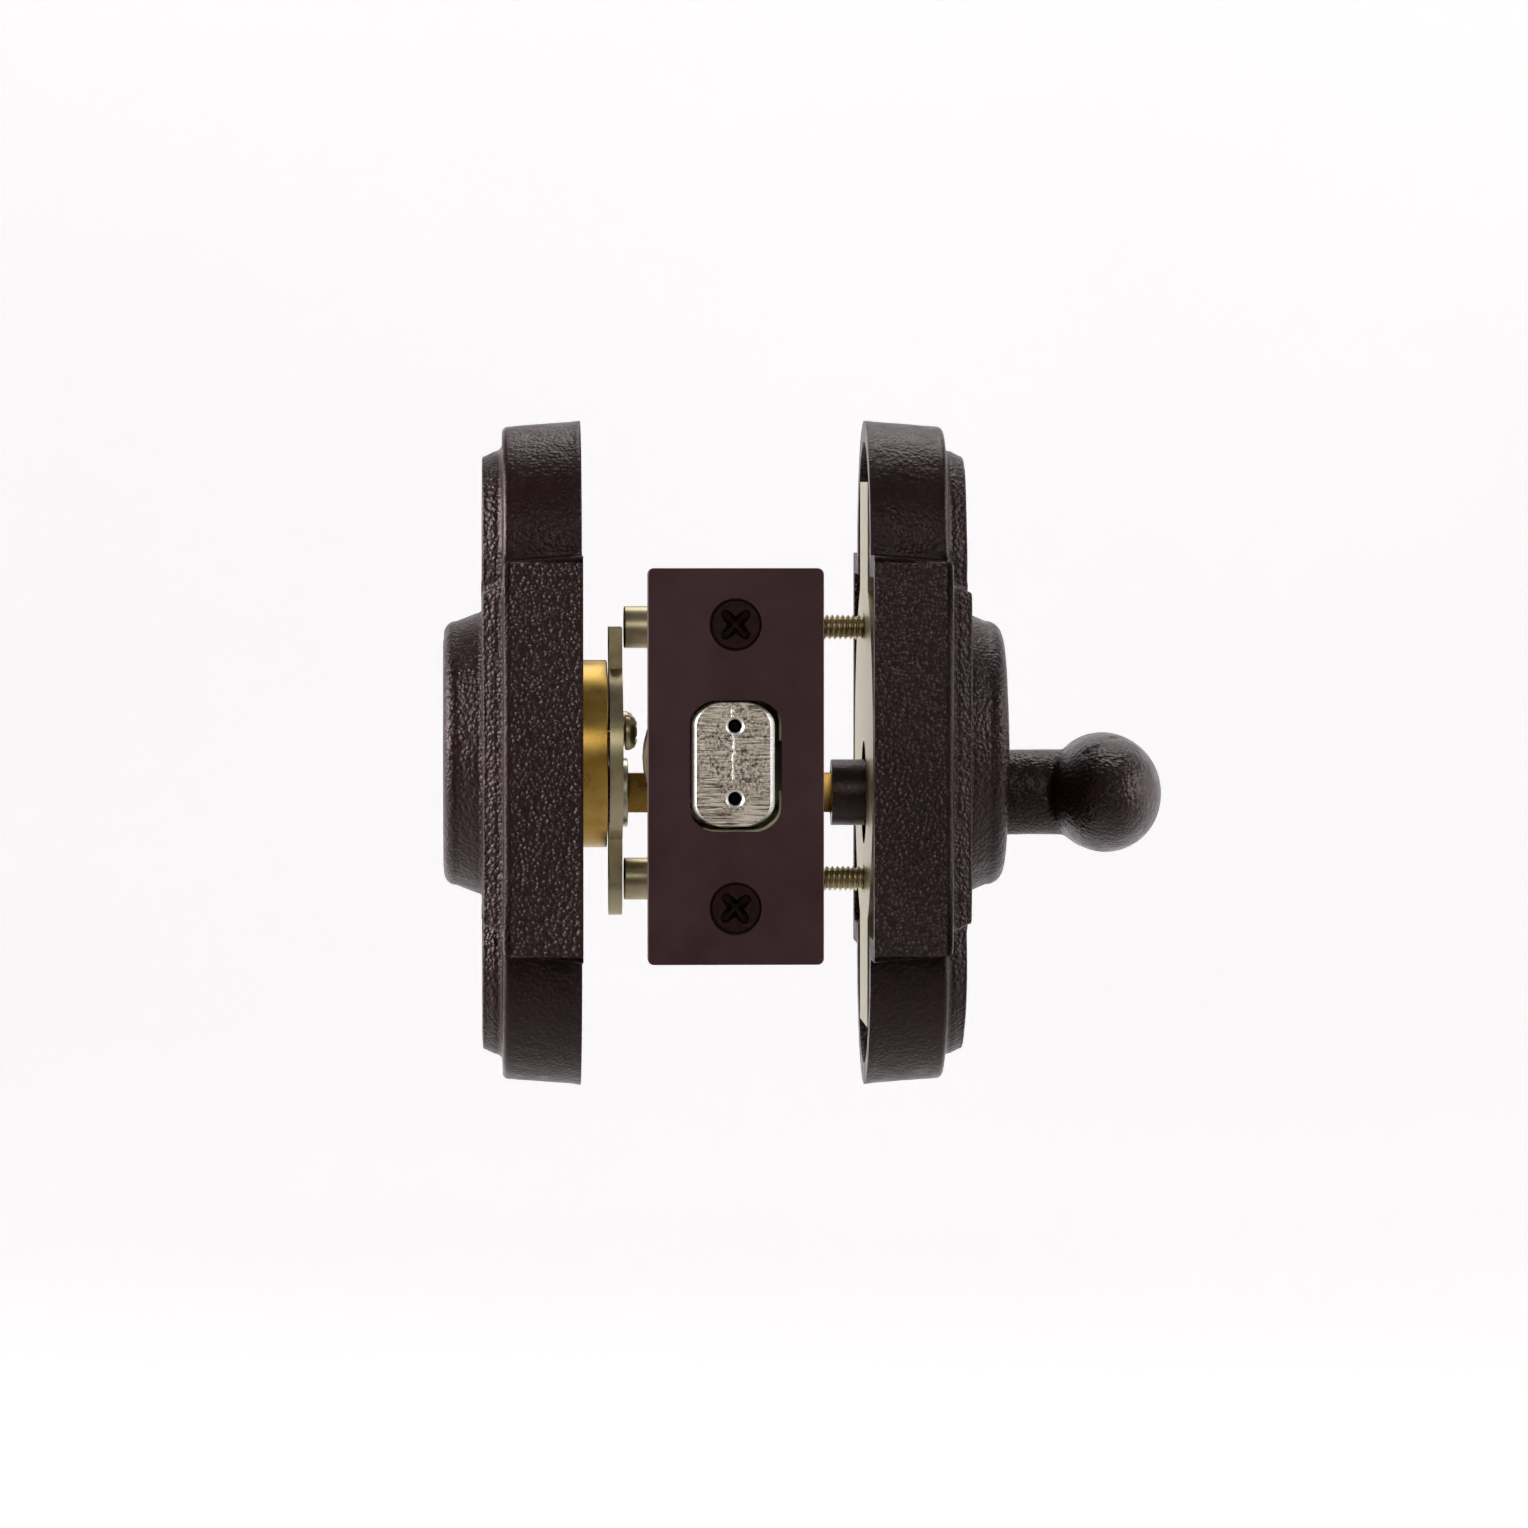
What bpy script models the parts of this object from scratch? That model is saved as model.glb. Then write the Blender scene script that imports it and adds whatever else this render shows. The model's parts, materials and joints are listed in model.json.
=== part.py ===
"""Single-cylinder tubular deadbolt with cast arched roses, a key cylinder outside and a thumbturn inside.

Frame: +X points through the door to the interior, -Y to the door's edge, +Z up. The origin is the middle of
the cross bore, half way through the door. Lengths are metres.
"""

import math

import bmesh
import bpy
from mathutils import Matrix, Vector

# Door preparation that the set is made for
DOOR_THICKNESS = 0.043
BACKSET = 0.0603
AXIS_DROP = 0.006

# General fits
SEAT = 0.0003
REACH = 0.001
ROUND_STEPS = 40
BORE_STEPS = 24
SMALL_STEPS = 14
PIN_STEPS = 12

# Cast roses
ROSE_HALF_WIDTH = 0.032
ROSE_HALF_HEIGHT = 0.0301
LOBE_RADIUS = 0.0202
ROSE_WALL = 0.0032
CORNER_RADIUS = 0.0010
RIM_DEPTH = 0.012
FACE_DEPTH = 0.0149
RIM_DRAFT = 0.0008
RIM_ROUND = 0.0007
COVE_WIDTH = 0.0024
FACE_ROUND = 0.0006
BOSS_RADIUS = 0.0214
BOSS_DEPTH = 0.0207
BOSS_ROUND = 0.0029
BOSS_FOOT = 0.0014
LOBE_STEPS = 10

# Key cylinder
HEAD_RADIUS = 0.0160
HEAD_THICKNESS = 0.0023
BODY_RADIUS = 0.0143
CYLINDER_LENGTH = 0.0247
PLUG_RADIUS = 0.00635
PLUG_SHOULDER_RADIUS = 0.0072
PLUG_SHOULDER = 0.0016
PLUG_STUB_RADIUS = 0.0052
PLUG_STUB_LENGTH = 0.0032
KEYWAY_WIDTH = 0.0022
KEYWAY_DEPTH = 0.0088
KEYWAY_LENGTH = 0.0218
PIN_COUNT = 5
PIN_PITCH = 0.00396
FIRST_PIN = 0.0060
PIN_RADIUS = 0.0013
KEY_PIN_LENGTHS = (0.0052, 0.0066, 0.0058, 0.0070, 0.0060)
DRIVER_PIN_LENGTH = 0.0044
COVER_THICKNESS = 0.0010
COVER_WIDTH = 0.0050
SPRING_WIRE = 0.00022
SPRING_TURNS = 4
SPRING_POINTS = 6

# Clamp that pulls the cylinder and its rose to the door
CLAMP_THICKNESS = 0.0020
CLAMP_RADIUS = 0.0140
CLAMP_EAR_WIDTH = 0.0110
MOUNT_SPACING = 0.0381
POST_RADIUS = 0.0032
POST_LENGTH = 0.0115
CLAMP_SCREW_SPREAD = 0.0090
CLAMP_SCREW_RISE = 0.0034
CLAMP_SCREW_RADIUS = 0.0015
CLAMP_SCREW_LENGTH = 0.0070
CLAMP_SCREW_HEAD = 0.0027

# Interior mounting plate and screws
PLATE_THICKNESS = 0.0015
PLATE_RADIUS = 0.0270
STRAP_WIDTH = 0.0220
STRAP_LENGTH = 0.0820
LUG_WIDTH = 0.0100
LUG_DEPTH = 0.0065
MOUNT_SCREW_RADIUS = 0.0019
MOUNT_SCREW_HEAD = 0.0040
MOUNT_SCREW_HEAD_HEIGHT = 0.0024
MOUNT_SCREW_GRIP = 0.0080
SET_SCREW_RADIUS = 0.0020
SET_SCREW_DEPTH = 0.0042

# Thumbturn
STEM_RADIUS = 0.0066
GRIP_RADIUS = 0.00915
GRIP_LENGTH = 0.0390
GRIP_OUT = 0.0367
GRIP_FULLNESS = 2.8
GRIP_STATIONS = 16
SPINDLE_RADIUS = 0.0050
SPINDLE_REACH = 0.0050
BEARING_RADIUS = 0.0100
BEARING_LENGTH = 0.0075
CLIP_THICKNESS = 0.0008
CLIP_WIDTH = 0.0028
WASHER_THICKNESS = 0.0006
TAIL_WIDTH = 0.0060
TAIL_THICKNESS = 0.0018
TAIL_GRIP = 0.0090

# Bolt cartridge
FACEPLATE_WIDTH = 0.0254
FACEPLATE_HEIGHT = 0.05715
FACEPLATE_THICKNESS = 0.0022
FACEPLATE_CORNER = 0.0010
WINDOW_WIDTH = 0.0133
WINDOW_HEIGHT = 0.0188
BACKING_INSET = 0.0004
BACKING_THICKNESS = 0.0016
BACKING_LIP = 0.00035
NOTCH_HEIGHT = 0.0068
NOTCH_DEPTH = 0.0015
EDGE_SCREW_SPACING = 0.0409
EDGE_SCREW_HEAD = 0.00355
EDGE_SCREW_HEAD_HEIGHT = 0.0024
EDGE_SCREW_RADIUS = 0.0019
EDGE_SCREW_LENGTH = 0.0190
TUBE_WALL = 0.0010
TUBE_END = 0.0203
CASE_HALF_WIDTH = 0.0050
CASE_WALL = 0.0010
CASE_LENGTH = 0.0190
COLLAR_LENGTH = 0.0100
RIVET_RADIUS = 0.0012
RIVET_HEAD = 0.0021
RIVET_HEAD_HEIGHT = 0.0008
RIVET_FRONT = 0.0138
RIVET_MARGIN = 0.0052
RIVET_DROP = 0.0070
LEAF_THICKNESS = 0.0004
LEAF_WIDTH = 0.0030
LEAF_LENGTH = 0.0220

# Bolt, slide and crank
BOLT_WIDTH = 0.0119
BOLT_HEIGHT = 0.0176
BOLT_LENGTH = 0.0380
BOLT_CHAMFER = 0.0022
BOLT_EDGE = 0.0004
BOLT_SIDE_PLAY = 0.0004
BOLT_TUBE_CLEARANCE = 0.0005
BOLT_THROW = 0.0254
ROD_RADIUS = 0.0010
ROD_SPACING = 0.0105
ROD_LIFT = 0.0005
ROD_RECESS = 0.0015
ROD_LENGTH = 0.0260
SLIDE_THICKNESS = 0.0020
SLIDE_BOTTOM = 0.0010
SLIDE_HEIGHT = 0.0080
FORK_HEIGHT = 0.0132
FORK_WALL = 0.0026
SLIDE_TONGUE = 0.0090
SLIDE_PIN_RADIUS = 0.0012
HUB_RADIUS = 0.0045
HUB_FLAT = 0.0042
HUB_HALF_WIDTH = 0.0036
JOURNAL_RADIUS = 0.0038
ARM_THICKNESS = 0.0018
ARM_WIDTH = 0.0056
CRANK_PIN_RADIUS = 0.0014
CRANK_PLAY = 0.0006

# Derived places
HALF_DOOR = DOOR_THICKNESS / 2
OUTSIDE = -HALF_DOOR
INSIDE = HALF_DOOR
EDGE = -BACKSET
AXIS = Vector((0, 0, -AXIS_DROP))
CYLINDER_FRONT = OUTSIDE - BOSS_DEPTH
CYLINDER_REAR = CYLINDER_FRONT + CYLINDER_LENGTH
CLAMP_FRONT = CYLINDER_REAR + SEAT
CLAMP_REAR = CLAMP_FRONT + CLAMP_THICKNESS
BACKING_FRONT = EDGE + FACEPLATE_THICKNESS + SEAT
BACKING_REAR = BACKING_FRONT + BACKING_THICKNESS
BOSS_FRONT = INSIDE + BOSS_DEPTH
BEARING_BACK = BOSS_FRONT - ROSE_WALL - BEARING_LENGTH
SPINDLE_END = INSIDE - SPINDLE_REACH
TAIL_START = CYLINDER_REAR + SEAT
TAIL_END = SPINDLE_END + TAIL_GRIP
COVER_HEIGHT = math.sqrt(BODY_RADIUS**2 - (COVER_WIDTH / 2) ** 2) - COVER_THICKNESS - 2 * SEAT
BOLT_CORNER = math.hypot(BOLT_WIDTH / 2 - BOLT_CHAMFER + BOLT_SIDE_PLAY, BOLT_HEIGHT / 2)
TUBE_RADIUS = BOLT_CORNER + BOLT_TUBE_CLEARANCE + CASE_WALL + SEAT + TUBE_WALL
CRANK_RADIUS = (BOLT_THROW / 2 - CRANK_PLAY / 2) * math.sqrt(2)
LOW_PIN = CRANK_RADIUS / math.sqrt(2)


def start_scene():
    """Clears the scene and returns the collections for the parts and for the cutters."""
    for old in list(bpy.data.objects):
        bpy.data.objects.remove(old, do_unlink=True)
    parts = bpy.data.collections.new("deadbolt")
    cutters = bpy.data.collections.new("cutters")
    cutters.hide_render = True
    for collection in (parts, cutters):
        bpy.context.scene.collection.children.link(collection)
    return parts, cutters


PARTS, CUTTERS = start_scene()


def finish(name, red, green, blue, roughness, metallic):
    """A Principled material with one linear colour."""
    made = bpy.data.materials.new(name)
    made.use_nodes = True
    shader = made.node_tree.nodes["Principled BSDF"]
    shader.inputs["Base Color"].default_value = (red, green, blue, 1)
    shader.inputs["Roughness"].default_value = roughness
    shader.inputs["Metallic"].default_value = metallic
    made.diffuse_color = (red, green, blue, 1)
    return made


CAST_BRONZE = finish("cast_dark_bronze", 0.018, 0.013, 0.012, 0.50, 0.6)
DARK_PLATE = finish("dark_bronze_plate", 0.021, 0.012, 0.011, 0.42, 0.6)
BRASS = finish("brass", 0.60, 0.42, 0.16, 0.30, 1.0)
NICKEL_SILVER = finish("nickel_silver", 0.55, 0.52, 0.45, 0.30, 1.0)
BRUSHED_NICKEL = finish("brushed_nickel", 0.47, 0.45, 0.41, 0.34, 1.0)
ZINC_STEEL = finish("zinc_plated_steel", 0.55, 0.50, 0.38, 0.36, 1.0)
SPRING_STEEL = finish("spring_steel", 0.38, 0.38, 0.39, 0.28, 1.0)
DARK_SCREW = finish("dark_screw", 0.020, 0.015, 0.013, 0.40, 0.7)


def shade(mesh):
    """Smooth shading with sharp edges past 35 degrees."""
    mesh.shade_smooth()
    mesh.set_sharp_from_angle(angle=math.radians(35))


def place(mesh_or_curve, name, location=(0, 0, 0), rotation=(0, 0, 0)):
    """A new object of this data in the parts collection."""
    made = bpy.data.objects.new(name, mesh_or_curve)
    made.location = location
    made.rotation_euler = rotation
    PARTS.objects.link(made)
    return made


ALONG = {
    "X": (0, math.pi / 2, 0),
    "Y": (-math.pi / 2, 0, 0),
    "Z": (0, 0, 0),
}


def block(name, low, high):
    """A box between two corners."""
    low, high = Vector(low), Vector(high)
    mesh = bpy.data.meshes.new(name)
    shape = bmesh.new()
    bmesh.ops.create_cube(shape, size=1)
    size = high - low
    bmesh.ops.scale(shape, vec=size, verts=shape.verts)
    shape.to_mesh(mesh)
    shape.free()
    return place(mesh, name, (low + high) / 2)


def rod(name, axis, radius, start, end, centre=(0, 0, 0), tip=None, steps=SMALL_STEPS):
    """A cylinder along an axis from start to end, or a cone to the tip radius."""
    mesh = bpy.data.meshes.new(name)
    shape = bmesh.new()
    bmesh.ops.create_cone(
        shape,
        cap_ends=True,
        segments=steps,
        radius1=radius,
        radius2=radius if tip is None else tip,
        depth=end - start,
    )
    shape.to_mesh(mesh)
    shape.free()
    shade(mesh)
    where = Vector(centre)
    where["XYZ".index(axis)] = (start + end) / 2
    return place(mesh, name, where, ALONG[axis])


def turned(name, axis, profile, centre=(0, 0, 0), steps=ROUND_STEPS):
    """A turned shape: a closed profile of (place along the axis, radius), carried round by a Screw modifier."""
    area = sum(
        r0 * z1 - r1 * z0
        for (z0, r0), (z1, r1) in zip(profile, profile[1:] + profile[:1])
    )
    ordered = profile if area < 0 else profile[::-1]
    mesh = bpy.data.meshes.new(name)
    points = [(radius, 0, along) for along, radius in ordered]
    on_axis = [radius < 1e-7 for _, radius in ordered]
    count = len(points)
    edges = [
        (i, (i + 1) % count)
        for i in range(count)
        if not (on_axis[i] and on_axis[(i + 1) % count])
    ]
    mesh.from_pydata(points, edges, [])
    made = place(mesh, name, centre, ALONG[axis])
    spin = made.modifiers.new("turn", "SCREW")
    spin.steps = steps
    spin.render_steps = steps
    spin.use_merge_vertices = True
    spin.merge_threshold = 1e-6
    spin.use_smooth_shade = True
    return made


def arc(centre, radius, start, end, steps):
    """Points of an arc between two angles in degrees."""
    angles = [math.radians(start + (end - start) * i / steps) for i in range(steps + 1)]
    return [
        (centre[0] + radius * math.cos(a), centre[1] + radius * math.sin(a))
        for a in angles
    ]


def chamfered(width, height, chamfer, centre=(0, 0)):
    """The outline of a rectangle with its corners cut off."""
    x, y = width / 2, height / 2
    corner = [(x, y - chamfer), (x - chamfer, y)]
    outline = corner + [(-a, b) for a, b in reversed(corner)]
    outline += [(-a, -b) for a, b in outline]
    return [(centre[0] + a, centre[1] + b) for a, b in outline]


def rounded(width, height, radius, steps=4):
    """The outline of a rectangle with round corners."""
    x, y = width / 2 - radius, height / 2 - radius
    places = ((x, y, 0), (-x, y, 90), (-x, -y, 180), (x, -y, 270))
    return [
        point
        for a, b, turn in places
        for point in arc((a, b), radius, turn, turn + 90, steps)
    ]


def to_mesh_object(curve_object):
    """Turns a curve object into a mesh object of the same name with its caps welded."""
    bpy.context.view_layer.update()
    graph = bpy.context.evaluated_depsgraph_get()
    mesh = bpy.data.meshes.new_from_object(curve_object.evaluated_get(graph))
    shape = bmesh.new()
    shape.from_mesh(mesh)
    bmesh.ops.remove_doubles(shape, verts=shape.verts, dist=1e-6)
    bmesh.ops.recalc_face_normals(shape, faces=shape.faces)
    shape.to_mesh(mesh)
    shape.free()
    name, matrix = curve_object.name, curve_object.matrix_world.copy()
    bpy.data.objects.remove(curve_object)
    made = place(mesh, name)
    made.matrix_world = matrix
    return made


def sheet(name, outline, thickness, location, rotation):
    """A flat plate: a filled curve outline, extruded about its own plane."""
    curve = bpy.data.curves.new(name, "CURVE")
    curve.dimensions = "2D"
    curve.fill_mode = "BOTH"
    curve.extrude = thickness / 2
    spline = curve.splines.new("POLY")
    spline.points.add(len(outline) - 1)
    for point, (x, y) in zip(spline.points, outline):
        point.co = (x, y, 0, 1)
    spline.use_cyclic_u = True
    return to_mesh_object(place(curve, name, location, rotation))


# A sheet that faces the door's edge has outline x along X and outline y along Z.
FACING_EDGE = (math.pi / 2, 0, 0)
# A sheet that stands along the door's depth has outline x along Y and outline y along Z.
FACING_SIDE = (math.pi / 2, 0, math.pi / 2)


def helper(cutter):
    """Moves an object to the cutters, out of the model."""
    PARTS.objects.unlink(cutter)
    CUTTERS.objects.link(cutter)
    cutter.hide_render = True
    cutter.display_type = "WIRE"
    return cutter


def boolean(target, other, operation):
    """Adds a live Boolean with the EXACT solver."""
    step = target.modifiers.new(other.name, "BOOLEAN")
    step.operation = operation
    step.solver = "EXACT"
    step.object = helper(other) if other.name in PARTS.objects else other
    return target


def cut(target, *cutters):
    """Cuts each shape out of the target."""
    for cutter in cutters:
        boolean(target, cutter, "DIFFERENCE")
    return target


def join(target, *others):
    """Joins each shape to the target as one body."""
    for other in others:
        boolean(target, other, "UNION")
    return target


def soften(target, width, steps=1, angle=50):
    """Bevels the sharp edges of the shape so far."""
    step = target.modifiers.new("soften", "BEVEL")
    step.width = width
    step.segments = steps
    step.limit_method = "ANGLE"
    step.angle_limit = math.radians(angle)
    return target


def dress(target, material, carrier=None):
    """Gives the finish, and hangs a moving piece on its joint's empty."""
    target.data.materials.clear()
    target.data.materials.append(material)
    if carrier:
        matrix = target.matrix_basis.copy()
        target.parent = carrier
        target.matrix_parent_inverse.identity()
        target.matrix_basis = carrier.matrix_basis.inverted() @ matrix
    return target


def joint_empty(name, location):
    """An empty on a joint's axis."""
    empty = bpy.data.objects.new(name, None)
    empty.location = location
    empty.empty_display_size = HEAD_RADIUS
    PARTS.objects.link(empty)
    return empty


def loft(name, rings):
    """A closed body through rings of equal point counts, capped at both ends."""
    mesh = bpy.data.meshes.new(name)
    shape = bmesh.new()
    rows = [[shape.verts.new(point) for point in ring] for ring in rings]
    for low, high in zip(rows, rows[1:]):
        count = len(low)
        for i in range(count):
            j = (i + 1) % count
            shape.faces.new((low[i], low[j], high[j], high[i]))
    shape.faces.new(rows[0])
    shape.faces.new(rows[-1][::-1])
    bmesh.ops.recalc_face_normals(shape, faces=shape.faces)
    shape.to_mesh(mesh)
    shape.free()
    shade(mesh)
    return place(mesh, name)


# Cast roses


def rose_outline(inset):
    """The arched outline of the rose, moved inwards: a block with a round lobe above and below."""
    width = ROSE_HALF_WIDTH - inset
    shoulder = ROSE_HALF_HEIGHT - inset
    radius = LOBE_RADIUS - inset
    sink = math.degrees(math.asin(min(1, (ROSE_HALF_HEIGHT - shoulder) / radius)))
    corner = arc(
        (width - CORNER_RADIUS, shoulder - CORNER_RADIUS), CORNER_RADIUS, 0, 90, 3
    )
    lobe = arc((0, ROSE_HALF_HEIGHT), radius, -sink, 90, LOBE_STEPS)
    quarter = corner + lobe
    half = quarter + [(-y, z) for y, z in reversed(quarter[:-1])]
    return half + [(-y, -z) for y, z in half]


def rose_profile():
    """(depth, inset) pairs of the rim wall, its rounded edge, the cove and the raised face's edge."""
    wall_top = RIM_DEPTH - RIM_ROUND
    edge = arc((wall_top, RIM_DRAFT + RIM_ROUND), RIM_ROUND, -90, 0, 2)
    cove_start = RIM_DRAFT + RIM_ROUND
    cove_height = FACE_DEPTH - FACE_ROUND - RIM_DEPTH
    cove = [
        (
            RIM_DEPTH + cove_height * (1 - math.cos(math.radians(angle))),
            cove_start + COVE_WIDTH * math.sin(math.radians(angle)),
        )
        for angle in (30, 60, 90)
    ]
    face_inset = cove_start + COVE_WIDTH + FACE_ROUND
    crest = arc((FACE_DEPTH - FACE_ROUND, face_inset), FACE_ROUND, -90, 0, 2)
    return [(0, 0)] + edge + cove + crest[1:]


def rose_shell(name, foot):
    """The hollow casting of one rose in its own frame: depth along +X from the door's face, open at the back."""
    rings = [
        [(depth, y, z) for y, z in rose_outline(inset)]
        for depth, inset in rose_profile()
    ]
    shell = loft(name, rings)
    cavity_depth = RIM_DEPTH - ROSE_WALL / 2
    cavity = loft(
        name + "_cavity",
        [
            [(depth, y, z) for y, z in rose_outline(inset)]
            for depth, inset in (
                (-REACH, ROSE_WALL),
                (cavity_depth - ROSE_WALL / 2, ROSE_WALL + RIM_DRAFT),
                (cavity_depth, ROSE_WALL * 1.6 + RIM_DRAFT),
            )
        ],
    )
    front = arc((BOSS_DEPTH - BOSS_ROUND, BOSS_RADIUS - BOSS_ROUND), BOSS_ROUND, 90, 0, 5)
    cove = [
        (FACE_DEPTH + foot * (1 - math.cos(a)), BOSS_RADIUS + foot * (1 - math.sin(a)))
        for a in (math.radians(30 * i) for i in range(4))
    ]
    profile = [(RIM_DEPTH, 0), (RIM_DEPTH, BOSS_RADIUS + foot)] + cove + front
    boss = turned(name + "_boss", "X", profile + [(BOSS_DEPTH, 0)])
    cut(shell, cavity)
    return join(shell, boss)


def exterior_rose():
    """The outside rose: its boss is bored for the key cylinder and counterbored for its head."""
    rose = rose_shell("exterior_rose", BOSS_FOOT)
    bore = BODY_RADIUS + SEAT
    head = HEAD_RADIUS + SEAT
    floor = BOSS_DEPTH - HEAD_THICKNESS - SEAT
    over = BOSS_DEPTH + REACH
    profile = [(-REACH, 0), (-REACH, bore), (floor, bore), (floor, head), (over, head)]
    cut(rose, turned("exterior_bore", "X", profile + [(over, 0)]))
    face = Matrix.Translation((OUTSIDE, 0, 0)) @ Matrix.Rotation(math.pi, 4, "Z")
    return dress(put_on_face(rose, face), CAST_BRONZE)


def put_on_face(rose, face):
    """Moves a rose and its cutters from the rose's own frame to a face of the door."""
    for shape in [rose] + [step.object for step in rose.modifiers]:
        shape.matrix_basis = face @ shape.matrix_basis
    return rose


def interior_rose():
    """The inside rose: a bearing for the thumbturn's stem below its middle, and a set screw hole underneath."""
    rose = rose_shell("interior_rose", SEAT)
    depth = BOSS_DEPTH - ROSE_WALL
    hollow = rod("boss_hollow", "X", BOSS_RADIUS - ROSE_WALL, RIM_DEPTH - ROSE_WALL - REACH, depth)
    bearing = rod(
        "bearing",
        "X",
        BEARING_RADIUS,
        depth - BEARING_LENGTH,
        depth + REACH,
        AXIS,
        steps=BORE_STEPS,
    )
    hole = rod(
        "stem_hole", "X", STEM_RADIUS + SEAT, 0, BOSS_DEPTH + REACH, AXIS, steps=BORE_STEPS
    )
    tap = rod(
        "set_screw_hole",
        "Z",
        SET_SCREW_RADIUS + SEAT,
        -ROSE_HALF_HEIGHT - LOBE_RADIUS - REACH,
        -ROSE_HALF_HEIGHT - LOBE_RADIUS / 2,
        (PLATE_THICKNESS + SET_SCREW_DEPTH, 0, 0),
    )
    cut(rose, hollow)
    join(rose, bearing)
    cut(rose, hole, tap)
    face = Matrix.Translation((INSIDE, 0, 0))
    return dress(put_on_face(rose, face), CAST_BRONZE)


# Key cylinder


def pin_places():
    """X of each pin chamber, from the front of the plug backwards."""
    return [CYLINDER_FRONT + FIRST_PIN + PIN_PITCH * i for i in range(PIN_COUNT)]


def cylinder_body():
    """The cylinder: a round body with a head, the plug's bore below its middle and the chambers above it."""
    head_back = CYLINDER_FRONT + HEAD_THICKNESS
    body = turned(
        "cylinder_body",
        "X",
        [
            (CYLINDER_FRONT, 0),
            (CYLINDER_FRONT, HEAD_RADIUS - HEAD_THICKNESS / 4),
            (CYLINDER_FRONT + HEAD_THICKNESS / 4, HEAD_RADIUS),
            (head_back, HEAD_RADIUS),
            (head_back, BODY_RADIUS),
            (CYLINDER_REAR, BODY_RADIUS),
            (CYLINDER_REAR, 0),
        ],
    )
    bore = PLUG_RADIUS + SEAT
    shoulder = PLUG_SHOULDER_RADIUS + SEAT
    floor = CYLINDER_FRONT + PLUG_SHOULDER + SEAT
    plug_bore = turned(
        "plug_bore",
        "X",
        [
            (CYLINDER_FRONT - REACH, 0),
            (CYLINDER_FRONT - REACH, shoulder),
            (floor, shoulder),
            (floor, bore),
            (CYLINDER_REAR + REACH, bore),
            (CYLINDER_REAR + REACH, 0),
        ],
        AXIS,
        steps=BORE_STEPS,
    )
    places = pin_places()
    trough = block(
        "cover_trough",
        (places[0] - PIN_PITCH, -COVER_WIDTH / 2 - SEAT, COVER_HEIGHT - SEAT),
        (CYLINDER_REAR + REACH, COVER_WIDTH / 2 + SEAT, BODY_RADIUS + REACH),
    )
    cut(body, plug_bore, trough)
    for i, x in enumerate(places):
        cut(body, rod(f"chamber_{i + 1}", "Z", PIN_RADIUS + SEAT, 0, COVER_HEIGHT, (x, 0, 0)))
    for side in (-1, 1):
        cut(body, clamp_screw_hole(side, CYLINDER_REAR - CLAMP_SCREW_LENGTH, CYLINDER_REAR + REACH))
    return dress(body, BRASS)


def clamp_screw_hole(side, start, end):
    """A hole for one clamp screw."""
    centre = (0, side * CLAMP_SCREW_SPREAD, CLAMP_SCREW_RISE)
    return rod(f"clamp_hole_{side}_{start:.3f}", "X", CLAMP_SCREW_RADIUS + SEAT, start, end, centre)


def chamber_cover():
    """The strip that closes the spring chambers."""
    places = pin_places()
    cover = block(
        "chamber_cover",
        (places[0] - PIN_PITCH + SEAT, -COVER_WIDTH / 2, COVER_HEIGHT),
        (CYLINDER_REAR, COVER_WIDTH / 2, COVER_HEIGHT + COVER_THICKNESS),
    )
    return dress(cover, BRASS)


def plug(carrier):
    """The plug: a shouldered barrel with a stepped keyway, five pin holes and a stub with the lost-motion recess."""
    shoulder_back = CYLINDER_FRONT + PLUG_SHOULDER
    stub_end = CYLINDER_REAR + PLUG_STUB_LENGTH
    groove = CYLINDER_REAR + SEAT
    groove_end = groove + CLIP_THICKNESS + SEAT
    groove_radius = PLUG_STUB_RADIUS - CLIP_WIDTH / 4
    barrel = turned(
        "plug",
        "X",
        [
            (CYLINDER_FRONT, 0),
            (CYLINDER_FRONT, PLUG_SHOULDER_RADIUS),
            (shoulder_back, PLUG_SHOULDER_RADIUS),
            (shoulder_back, PLUG_RADIUS),
            (CYLINDER_REAR, PLUG_RADIUS),
            (CYLINDER_REAR, PLUG_STUB_RADIUS),
            (groove, PLUG_STUB_RADIUS),
            (groove, groove_radius),
            (groove_end, groove_radius),
            (groove_end, PLUG_STUB_RADIUS),
            (stub_end, PLUG_STUB_RADIUS),
            (stub_end, 0),
        ],
        AXIS,
        steps=BORE_STEPS,
    )
    low = AXIS.z - PLUG_SHOULDER_RADIUS - REACH
    top = AXIS.z - PLUG_RADIUS + KEYWAY_DEPTH
    step = (low + top) / 2
    half = KEYWAY_WIDTH / 2
    ward = KEYWAY_WIDTH / 4
    end = CYLINDER_FRONT + KEYWAY_LENGTH
    cut(
        barrel,
        block("keyway_low", (CYLINDER_FRONT - REACH, -half, low), (end, ward, step)),
        block("keyway_top", (CYLINDER_FRONT - REACH, -ward, step - ward), (end, half, top)),
    )
    for i, x in enumerate(pin_places()):
        hole = rod(
            f"plug_hole_{i + 1}",
            "Z",
            PIN_RADIUS + SEAT,
            AXIS.z - PIN_RADIUS,
            AXIS.z + PLUG_RADIUS + REACH,
            (x, 0, 0),
        )
        cut(barrel, hole)
    cut(barrel, lost_motion_recess())
    return dress(barrel, NICKEL_SILVER, carrier)


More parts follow.
